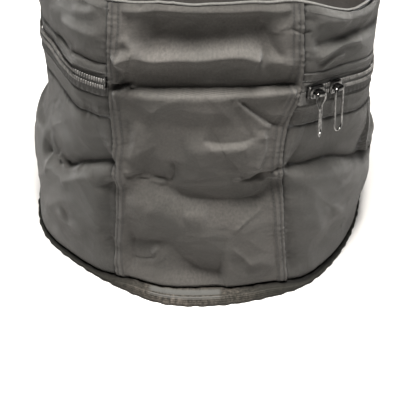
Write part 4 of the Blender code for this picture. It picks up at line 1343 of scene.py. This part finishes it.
# the tapes run on a little way under the hinge panel's edges
UNDER_PANEL = math.radians(4.0)
lower_rows = np.linspace(-0.0205, -TAPE_SLIT, 16)
lower_tape = tape_object(
    "lower_tape", rib_angles(ZIP_START - UNDER_PANEL, TURN - ZIP_START + UNDER_PANEL), lower_rows, -BAND_TOP,
)
show(lower_tape, tape_paint, "case_body", ["lower_zip_tape"])
lower_coil = coil_object("lower_coil", lower_angles + half_step, -1.0)
show(lower_coil, coil_paint, "case_body", ["lower_zip_coil"])
upper_rows = np.linspace(TAPE_SLIT, TAPE_TOP - 0.0004, 14)
upper_tape = tape_object("upper_tape", rib_angles(SOFT_END, TURN - SOFT_END), upper_rows, HEM_HEIGHT)
show(upper_tape, tape_paint, "lid", ["upper_zip_tape"])
upper_coil = coil_object("upper_coil", rib_angles(SOFT_END, TURN - SOFT_END), 1.0)
show(upper_coil, coil_paint, "lid", ["upper_zip_coil"])
for word, start, end in (("right", COIL_START, SOFT_END), ("left", TURN - SOFT_END, TURN - COIL_START)):
    low, high = (start - UNDER_PANEL, end) if word == "right" else (start, end + UNDER_PANEL)
    tape_end = tape_object("upper_tape_" + word, rib_angles(low, high), upper_rows, HEM_HEIGHT)
    coil_end = coil_object("upper_coil_" + word, rib_angles(start, end), 1.0)
    near, far = (start, end) if word == "right" else (end, start)
    far = near + BEND_SHARE * (far - near)
    bend_start = Vector(zip_points(np.array([near]), np.array([0.0]), ZIP_RADIUS)[0])
    bend_end = Vector(zip_points(np.array([far]), np.array([0.0]), ZIP_RADIUS)[0])
    for made, paint, slot, node in (
        (tape_end, tape_paint, "zip_tape", "upper_zip_tape_end_"),
        (coil_end, coil_paint, "zip_coil", "upper_zip_coil_end_"),
    ):
        show(made, paint, None, [node + word])
        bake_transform(made)


# Stitching: short, slightly sunk thread stitches in pairs of rows along the hinge panel, and in
# single rows along the lid's hem, the lid's rim and the two edges of the zip band.
STITCH_STEP = 0.0034
THREAD = 0.00030
stitch = lathe_piece(
    "stitch",
    [
        (-0.00130, 0.3 * THREAD), (-0.00105, 0.9 * THREAD), (-0.0004, THREAD),
        (0.0004, THREAD), (0.00105, 0.9 * THREAD), (0.00130, 0.3 * THREAD),
    ],
    sides=6, flat=0.8,
)
stitch.data.transform(Matrix.Rotation(0.5 * math.pi, 4, "Z"))
thread_paint, tree, shader = new_material("thread")
place = linked(tree, "ShaderNodeTexCoord").outputs["Object"]
plies = {"Vector": place, "Scale": 500.0}
tone, _ = mottled(tree, plies, (0.016, 0.015, 0.014), (0.045, 0.043, 0.040))
tree.links.new(tone, shader.inputs["Base Color"])
shader.inputs["Roughness"].default_value = 0.55


def stitch_rows(name, routes, body, seed=2):
    lines, facings = [], []
    for angle, rise, relief in routes:
        lines.append(cloth_points(angle, rise, relief))
        facings.append(wall_out(angle, rise))
    made = set_along(name, lines, facings, stitch, STITCH_STEP, thread_paint, turn=0.10, seed=seed)
    return show(made, thread_paint, body)


panel_rise = np.linspace(-0.200, 0.0765, 210)
routes = []
for side, seam in ((1.0, left_seam), (-1.0, right_seam)):
    for gap in STITCH_GAPS:
        angle = seam(panel_rise) + side * gap / ZIP_RADIUS
        relief = panel_edge_relief(np.full_like(panel_rise, gap), panel_rise)
        relief += seam_relief(np.full_like(panel_rise, gap), panel_rise, 0.15) + 0.4 * THREAD
        routes.append((angle, panel_rise, relief))
panel_stitches = stitch_rows("panel_stitches", routes, None)
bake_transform(panel_stitches)

turns = np.linspace(0.53, TURN - 0.56, 420)
flat = np.zeros_like(turns)
stitch_rows("hem_stitches", [
    (turns, flat + HEM_HEIGHT + 0.0016, flat + 0.0013), (turns, flat + 0.0172, flat + 0.0004),
], "lid")
stitch_rows("rim_stitches", [(turns, rim_rise(turns) - 0.0060, flat + 0.0018)], "lid")
stitch_rows("band_stitches", [
    (turns, flat + BAND_TOP - 0.0020, flat + 0.0008), (turns, flat + SEAM_RISE + 0.0030, flat - 0.0006),
], "case_body")


# Sliders: dark cast metal, a plate each side of the coil with turned flanges, a web between
# the coil halves and a rounded lug that holds the bent ends of the wire pull.
def gunmetal(name, base, rubbed, rough):
    made, tree, shader = new_material(name)
    place = linked(tree, "ShaderNodeTexCoord").outputs["Object"]
    worn = {"Vector": place, "Scale": 420.0, "Detail": 4.0}
    tone, _ = mottled(tree, worn, base, rubbed, 0.40, 0.72)
    tree.links.new(tone, shader.inputs["Base Color"])
    shader.inputs["Metallic"].default_value = 1.0
    shader.inputs["Roughness"].default_value = rough
    return made


metal_paint = gunmetal("slider_metal", (0.035, 0.035, 0.035), (0.20, 0.195, 0.19), 0.24)
wire_paint = gunmetal("pull_wire", (0.09, 0.09, 0.088), (0.26, 0.255, 0.25), 0.22)
PLATE = 0.0014
WIRE = 0.00095


def shield(shape, half_long, half_tall, levels, taper=0.10, sides=40):
    """A plate with rounded corners, narrower at one end; levels are (height, inset) pairs."""
    rings = []
    for height, inset in levels:
        ring = []
        for turn in np.linspace(0.0, TURN, sides, endpoint=False):
            along = math.copysign(abs(math.cos(turn)) ** 0.55, math.cos(turn))
            up = math.copysign(abs(math.sin(turn)) ** 0.55, math.sin(turn))
            narrow = 1.0 - taper * (0.5 + 0.5 * along)
            spot = (along * (half_long - inset), -height, up * (half_tall - inset) * narrow)
            ring.append(shape.verts.new(spot))
        rings.append(ring)
    for low, high in zip(rings, rings[1:]):
        for k in range(sides):
            shape.faces.new((low[k], low[(k + 1) % sides], high[(k + 1) % sides], high[k]))
    shape.faces.new(rings[0][::-1])
    shape.faces.new(rings[-1])


def slider_object(name, node, pull_place):
    corners = in_zip_frame(node)
    middle = 0.5 * (corners.min(axis=0) + corners.max(axis=0))
    angle = math.atan2(middle[0], -middle[1])
    local = zip_frame @ Matrix.Rotation(angle, 4, "Z")
    turned = moved(np.linalg.inv(np.array(local)), node_points(node))
    half_long = turned[:, 0].max()
    half_tall = turned[:, 2].max()
    back = -turned[:, 1].max()
    top = -turned[:, 1].min()
    face = COIL_RADIUS + 0.0006
    pin = -(local.inverted() @ Vector(pull_place)).y
    shape = bmesh.new()
    soft = 0.00045
    shield(shape, half_long, half_tall, [
        (face - 0.0001, soft), (face + 0.0002, 0.0), (face + PLATE - 0.0004, 0.0), (face + PLATE, soft),
        (face + PLATE + 0.00035, 0.0022),
    ])
    shield(shape, half_long, half_tall, [
        (back, soft), (back + 0.0004, 0.0), (back + PLATE - 0.0004, 0.0), (back + PLATE, soft),
    ])
    for side in (-1.0, 1.0):
        flange = bmesh.ops.create_cube(shape, size=1.0)["verts"]
        bmesh.ops.scale(shape, vec=(2.0 * half_long - 0.0040, 0.0024, 0.0008), verts=flange)
        bmesh.ops.translate(shape, vec=(0.0, -(face - 0.0009), side * (half_tall - 0.0009)), verts=flange)
    web = bmesh.ops.create_cube(shape, size=1.0)["verts"]
    bmesh.ops.scale(shape, vec=(0.0044, face - back, 0.0006), verts=web)
    bmesh.ops.translate(shape, vec=(0.0, -0.5 * (face + back), 0.0), verts=web)
    round_top = top - pin
    section = [(-0.0028, face + 0.5 * PLATE), (-0.0028, pin - 0.0006)]
    for turn in np.linspace(math.pi, 0.0, 13):
        section.append((0.0028 * math.cos(turn), pin + round_top * math.sin(turn)))
    section += [(0.0028, pin - 0.0006), (0.0028, face + 0.5 * PLATE)]
    rings = []
    for along, shrink in ((-0.0032, 0.88), (-0.0029, 1.0), (0.0029, 1.0), (0.0032, 0.88)):
        rings.append([
            shape.verts.new((along, -(face + (out - face) * (0.97 if shrink < 1.0 else 1.0)), up * shrink))
            for up, out in section
        ])
    skin(shape, rings)
    shape.transform(local)
    made = add_object(name, mesh_of(name, shape))
    made.data.shade_smooth()
    made.data.set_sharp_from_angle(angle=math.radians(35.0))
    return made, local


def pull_object(name, node, local, pin_place, twist):
    turned = moved(np.linalg.inv(np.array(local)), node_points(node))
    centre_place = local.inverted() @ Vector(pin_place)
    lowest = turned[turned[:, 2].argmin()]
    length = (Vector(lowest) - centre_place).length - 0.0002
    lean = math.atan2(-(lowest[1] - centre_place.y), centre_place.z - lowest[2])
    half = 0.00575 - WIRE
    pin = 0.0022
    route = [(pin, 0.0), (half - 0.0012, 0.0), (half - 0.0004, -0.0004), (half, -0.0014)]
    straight = length - WIRE - half
    for drop in np.linspace(0.004, straight, 14):
        sag = 0.00022 * math.sin(drop * 190.0)
        route.append((half + sag, -drop))
    bend = [
        (half * math.cos(turn), -straight - half * math.sin(turn))
        for turn in np.linspace(0.0, math.pi, 15)[1:-1]
    ]
    route = route + bend + [(-x, z) for x, z in reversed(route)]
    path = bpy.data.curves.new(name, "CURVE")
    path.dimensions = "3D"
    path.bevel_depth = WIRE * 0.97
    path.bevel_resolution = 4
    path.use_fill_caps = True
    spline = path.splines.new("POLY")
    spline.points.add(len(route) - 1)
    for point, (across, drop) in zip(spline.points, route):
        turn = twist * float(smooth_step(-drop, 0.004, 0.014))
        point.co = (across * math.cos(turn), -across * math.sin(turn), drop, 1.0)
    drawn = add_object(name, path)
    place = local @ Matrix.Translation(centre_place) @ Matrix.Rotation(-lean, 4, "X")
    mesh = bpy.data.meshes.new_from_object(drawn.evaluated_get(bpy.context.evaluated_depsgraph_get()))
    bpy.data.objects.remove(drawn, do_unlink=True)
    mesh.transform(place)
    mesh.shade_smooth()
    return add_object(name, mesh)


for word, twist in (("near", math.radians(-40.0)), ("far", 0.0)):
    pin_place = joints["pull_" + word + "_swing"]["pos_m"]
    body, local = slider_object("zip_slider_" + word, "slider_" + word, pin_place)
    show(body, metal_paint, "slider_" + word, ["slider_" + word])
    pull = pull_object("wire_pull_" + word, "pull_" + word, local, pin_place, twist)
    show(pull, wire_paint, "pull_" + word, ["pull_" + word])


# Zip stops: two small blocks of the same metal, crimped over the zip at the hinge panel's edges,
# which keep the sliders on the coil.
for side, word in ((1.0, "right"), (-1.0, "left")):
    shape = bmesh.new()
    bmesh.ops.create_cube(shape, size=1.0)
    bmesh.ops.scale(shape, vec=(0.0017, 0.0032, 2.0 * COIL_HALF), verts=shape.verts)
    bmesh.ops.bevel(shape, geom=shape.edges[:], offset=0.0004, segments=2, affect="EDGES")
    middle = 0.5 * (ZIP_START + COIL_START - 0.0004)
    bmesh.ops.translate(shape, vec=(0.0, -(COIL_RADIUS - 0.0012), 0.0), verts=shape.verts)
    shape.transform(zip_frame @ Matrix.Rotation(side * middle, 4, "Z"))
    stop = add_object("stop_" + word, mesh_of("stop_" + word, shape))
    show(stop, metal_paint, "case_body", ["zip_stop_" + word])


# Carry handle on the wall opposite the hinge panel: ribbed webbing sewn down at both ends with
# a boxed cross, bowed out between them under a padded sleeve.
WEBBING_THICK = 0.0020
WEBBING_STAND = 0.0026
strap_box = node_points("handle_strap")
patch_box = node_points("handle_patch_left")
HANDLE_Z = joints["handle_swing"]["pos_m"][2]
STRAP_HALF = strap_box[:, 2].max() - HANDLE_Z
PATCH_HALF = patch_box[:, 2].max() - HANDLE_Z
grip_box = node_points("handle_grip")


def from_back(points):
    return math.pi - np.abs(np.arctan2(points[:, 0], -points[:, 1]))


PATCH_NEAR, PATCH_FAR = from_back(patch_box).min(), from_back(patch_box).max()
STRAP_END = from_back(strap_box).max()
GRIP_END = from_back(grip_box).max()
BOW = 0.0240


def handle_place(angle, height, proud):
    top = ring_point(angle, np.zeros_like(angle))[..., 2]
    share = (HANDLE_Z + height - FOOT_HEIGHT) / (top - FOOT_HEIGHT)
    rise = (share - 1.0) * wall_height(angle)
    along = np.clip(np.abs(angle - math.pi) / PATCH_NEAR, 0.0, 1.0)
    bow = BOW * (1.0 - along ** 2) ** 2
    return plain_wall(angle, rise) + outward(angle) * (bow + proud)[..., None]


def strap_object(name, start, end, half, columns=60):
    rows = np.linspace(-half, half, 22)
    height, angle = np.meshgrid(rows, np.linspace(start, end, columns), indexing="ij")
    rib = 0.00012 * np.cos(height * TURN / 0.0031) - 0.0005 * smooth_step(np.abs(height), half - 0.0012, half)
    points = handle_place(angle, height, WEBBING_STAND + rib)
    made = grid_object(name, points, np.stack([angle * ZIP_RADIUS, height], axis=-1))
    return thickened(made, WEBBING_THICK - 0.0004)


webbing_paint = cloth_paint(
    "webbing", (0.022, 0.022, 0.021), (0.040, 0.039, 0.037), 0.0011, rough=0.6, sheen=0.2,
)
strap = strap_object("strap", math.pi - STRAP_END, math.pi + STRAP_END, STRAP_HALF, columns=90)
show(strap, webbing_paint, "handle", ["handle_strap"])
for side, word in ((-1.0, "right"), (1.0, "left")):
    near, far = math.pi + side * PATCH_NEAR, math.pi + side * PATCH_FAR
    patch = strap_object("sewn_end_" + word, min(near, far), max(near, far), PATCH_HALF)
    show(patch, webbing_paint, "case_body", ["handle_patch_" + word])
    inner = math.pi + side * STRAP_END
    soft = strap_object("strap_bend_" + word, min(near, inner), max(near, inner), STRAP_HALF)
    show(soft, webbing_paint, None, ["handle_strap_end_" + word])
    ends = [Vector(handle_place(np.array([a]), np.array([0.0]), np.array([0.0]))[0]) for a in (near, inner)]
    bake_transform(soft)
    a, b = near + side * 0.018, far - side * 0.018
    h = PATCH_HALF - 0.004
    corners = [(a, -h), (a, h), (b, h), (b, -h), (a, -h), (b, h)]
    cross = [(a, h), (b, -h)]
    lines, facings = [], []
    for route in (corners, cross):
        for (a0, h0), (a1, h1) in zip(route, route[1:]):
            angle, height = np.linspace(a0, a1, 14), np.linspace(h0, h1, 14)
            lines.append(handle_place(angle, height, np.full_like(angle, WEBBING_STAND + 0.0002)))
            facings.append(outward(angle))
    sewn = set_along(
        "box_stitches_" + word, lines, facings, stitch, STITCH_STEP, thread_paint, turn=0.1, seed=9,
    )
    show(sewn, thread_paint, "case_body")


# Grip of the handle: a padded nylon sleeve round the middle of the webbing. It is blown up as
# cloth with pressure inside, and no point of it moves farther than GRIP_PUFF.
GRIP_TALL = grip_box[:, 2].max() - HANDLE_Z
grip_angles = np.linspace(math.pi - GRIP_END, math.pi + GRIP_END, 70)
section_turns = np.linspace(0.0, TURN, 44, endpoint=False)
turn, angle = np.meshgrid(section_turns, grip_angles, indexing="xy")
along = (angle - math.pi) / GRIP_END
full = 1.0 - 0.25 * np.abs(along) ** 6
across = np.sign(np.cos(turn)) * np.abs(np.cos(turn)) ** 0.7
tall = np.sign(np.sin(turn)) * np.abs(np.sin(turn)) ** 0.55
crease = 1.0 + 0.05 * np.sin(along * 19.0 + 2.0 * np.sin(turn))
points = handle_place(angle, GRIP_TALL * tall, 0.0016 + 0.0050 * across * full * crease)
coords = np.stack([angle * ZIP_RADIUS, turn * 0.008], axis=-1)
grip = grid_object("grip_sleeve", points, coords, round_columns=True, caps="first last")
PUFF_FRAMES = 20
PRESSURE = 4.0
GRIP_VOXEL = 0.0020
GRIP_PUFF = 0.0012


def puffed(made, voxel, longest):
    """The closed mesh blown up as cloth without weight; no point moves farther than longest."""
    even = made.modifiers.new("even", "REMESH")
    even.mode = "VOXEL"
    even.voxel_size = voxel
    ready = made.evaluated_get(bpy.context.evaluated_depsgraph_get())
    mesh = bpy.data.meshes.new_from_object(ready)
    made.modifiers.remove(even)
    made.data = mesh
    start = mesh_points(mesh)
    blown = made.modifiers.new("blown", "CLOTH")
    blown.settings.use_pressure = True
    blown.settings.uniform_pressure_force = PRESSURE
    blown.settings.effector_weights.gravity = 0.0
    for number in range(1, PUFF_FRAMES + 1):
        scene.frame_set(number)
    ready = made.evaluated_get(bpy.context.evaluated_depsgraph_get())
    shift = mesh_points(ready.data) - start
    made.modifiers.remove(blown)
    scene.frame_set(1)
    far = np.linalg.norm(shift, axis=1, keepdims=True)
    return start + shift * np.minimum(1.0, longest / np.maximum(far, 0.001 * MM))


def set_points(mesh, points, flat):
    mesh.vertices.foreach_set("co", points.ravel())
    map_cloth(mesh, flat)
    mesh.shade_smooth()


points = puffed(grip, GRIP_VOXEL, GRIP_PUFF)
round_back = np.arctan2(points[:, 0], points[:, 1]) * ZIP_RADIUS
set_points(grip.data, points, np.stack([round_back, points[:, 2]], axis=-1))
grip_paint = cloth_paint("grip_nylon", (0.030, 0.029, 0.027), (0.048, 0.046, 0.043), 0.0006)
show(grip, grip_paint, "handle", ["handle_grip"])


# Inside the base: foam in the dark lining cloth lies on a stiff pressed board, over the coarse
# cloth of the underside. The pad is blown up as the grip is; the underside is left flat.
PAD_VOXEL = 0.0040
PAD_PUFF = 0.0030


def disc_object(name, low, high, radius, quilt, paint, nodes, crown=0.0):
    """A round pad with a rolled edge, from its underside's middle round to its top's middle."""
    half = 0.5 * (high - low)
    inner = np.linspace(0.01, 1.0, 34)
    levels = [(share * (radius - half), low) for share in inner]
    for turn in np.linspace(-0.5 * math.pi, 0.5 * math.pi, 8)[1:-1]:
        levels.append((radius - half + half * math.cos(turn), low + half + half * math.sin(turn)))
    levels += [(share * (radius - half), high) for share in inner[::-1]]
    rows = []
    for reach, height in levels:
        ring = outward(pad_columns) * reach
        share = reach / radius
        wave = np.sin(share * 25.0 + 3.0 * np.sin(pad_columns)) * np.cos(3.0 * pad_columns + 6.0 * share)
        wave = wave * smooth_step(share, 0.0, 0.25)
        ring[:, 2] = height + (quilt * wave * (1.0 - share ** 6) if height == high else 0.0)
        rows.append(ring)
    points = np.array(rows)
    made = grid_object(name, points, points[..., :2].copy(), round_columns=True, caps="first last")
    if crown:
        points = puffed(made, PAD_VOXEL, crown)
        points[:, 2] = np.maximum(points[:, 2], low)
        reach = np.maximum(radii(points), MM)
        points[:, :2] *= np.minimum(1.0, radius / reach)[:, None]
        set_points(made.data, points, points[:, :2].copy())
    return show(made, paint, "case_body", nodes)


base_radius = radii(node_points("base_lining")).max()
pad_low = node_points("base_foam")[:, 2].min()
pad_high = node_points("base_lining")[:, 2].max()
base_pad = disc_object(
    "base_pad", pad_low, pad_high - 0.0004, base_radius, 0.0004, lining_paint,
    ["base_foam", "base_lining"], crown=PAD_PUFF,
)
underside = node_points("base_outer")[:, 2]
disc_object(
    "base_underside", underside.min(), underside.max(), base_radius, 0.0, binding_paint,
    ["base_outer"],
)
board_paint, tree, shader = new_material("pressed_board")
place = linked(tree, "ShaderNodeTexCoord").outputs["Object"]
pulp = {"Vector": place, "Scale": 160.0, "Detail": 6.0}
tone, fibres = mottled(tree, pulp, (0.20, 0.15, 0.10), (0.34, 0.27, 0.19))
rough_board = linked(tree, "ShaderNodeBump", {"Strength": 0.3, "Distance": 0.0003, "Height": fibres})
tree.links.new(tone, shader.inputs["Base Color"])
tree.links.new(rough_board.outputs["Normal"], shader.inputs["Normal"])
shader.inputs["Roughness"].default_value = 0.85
board = frame["nodes"]["base_board"]
board.data.materials.clear()
board.data.materials.append(board_paint)
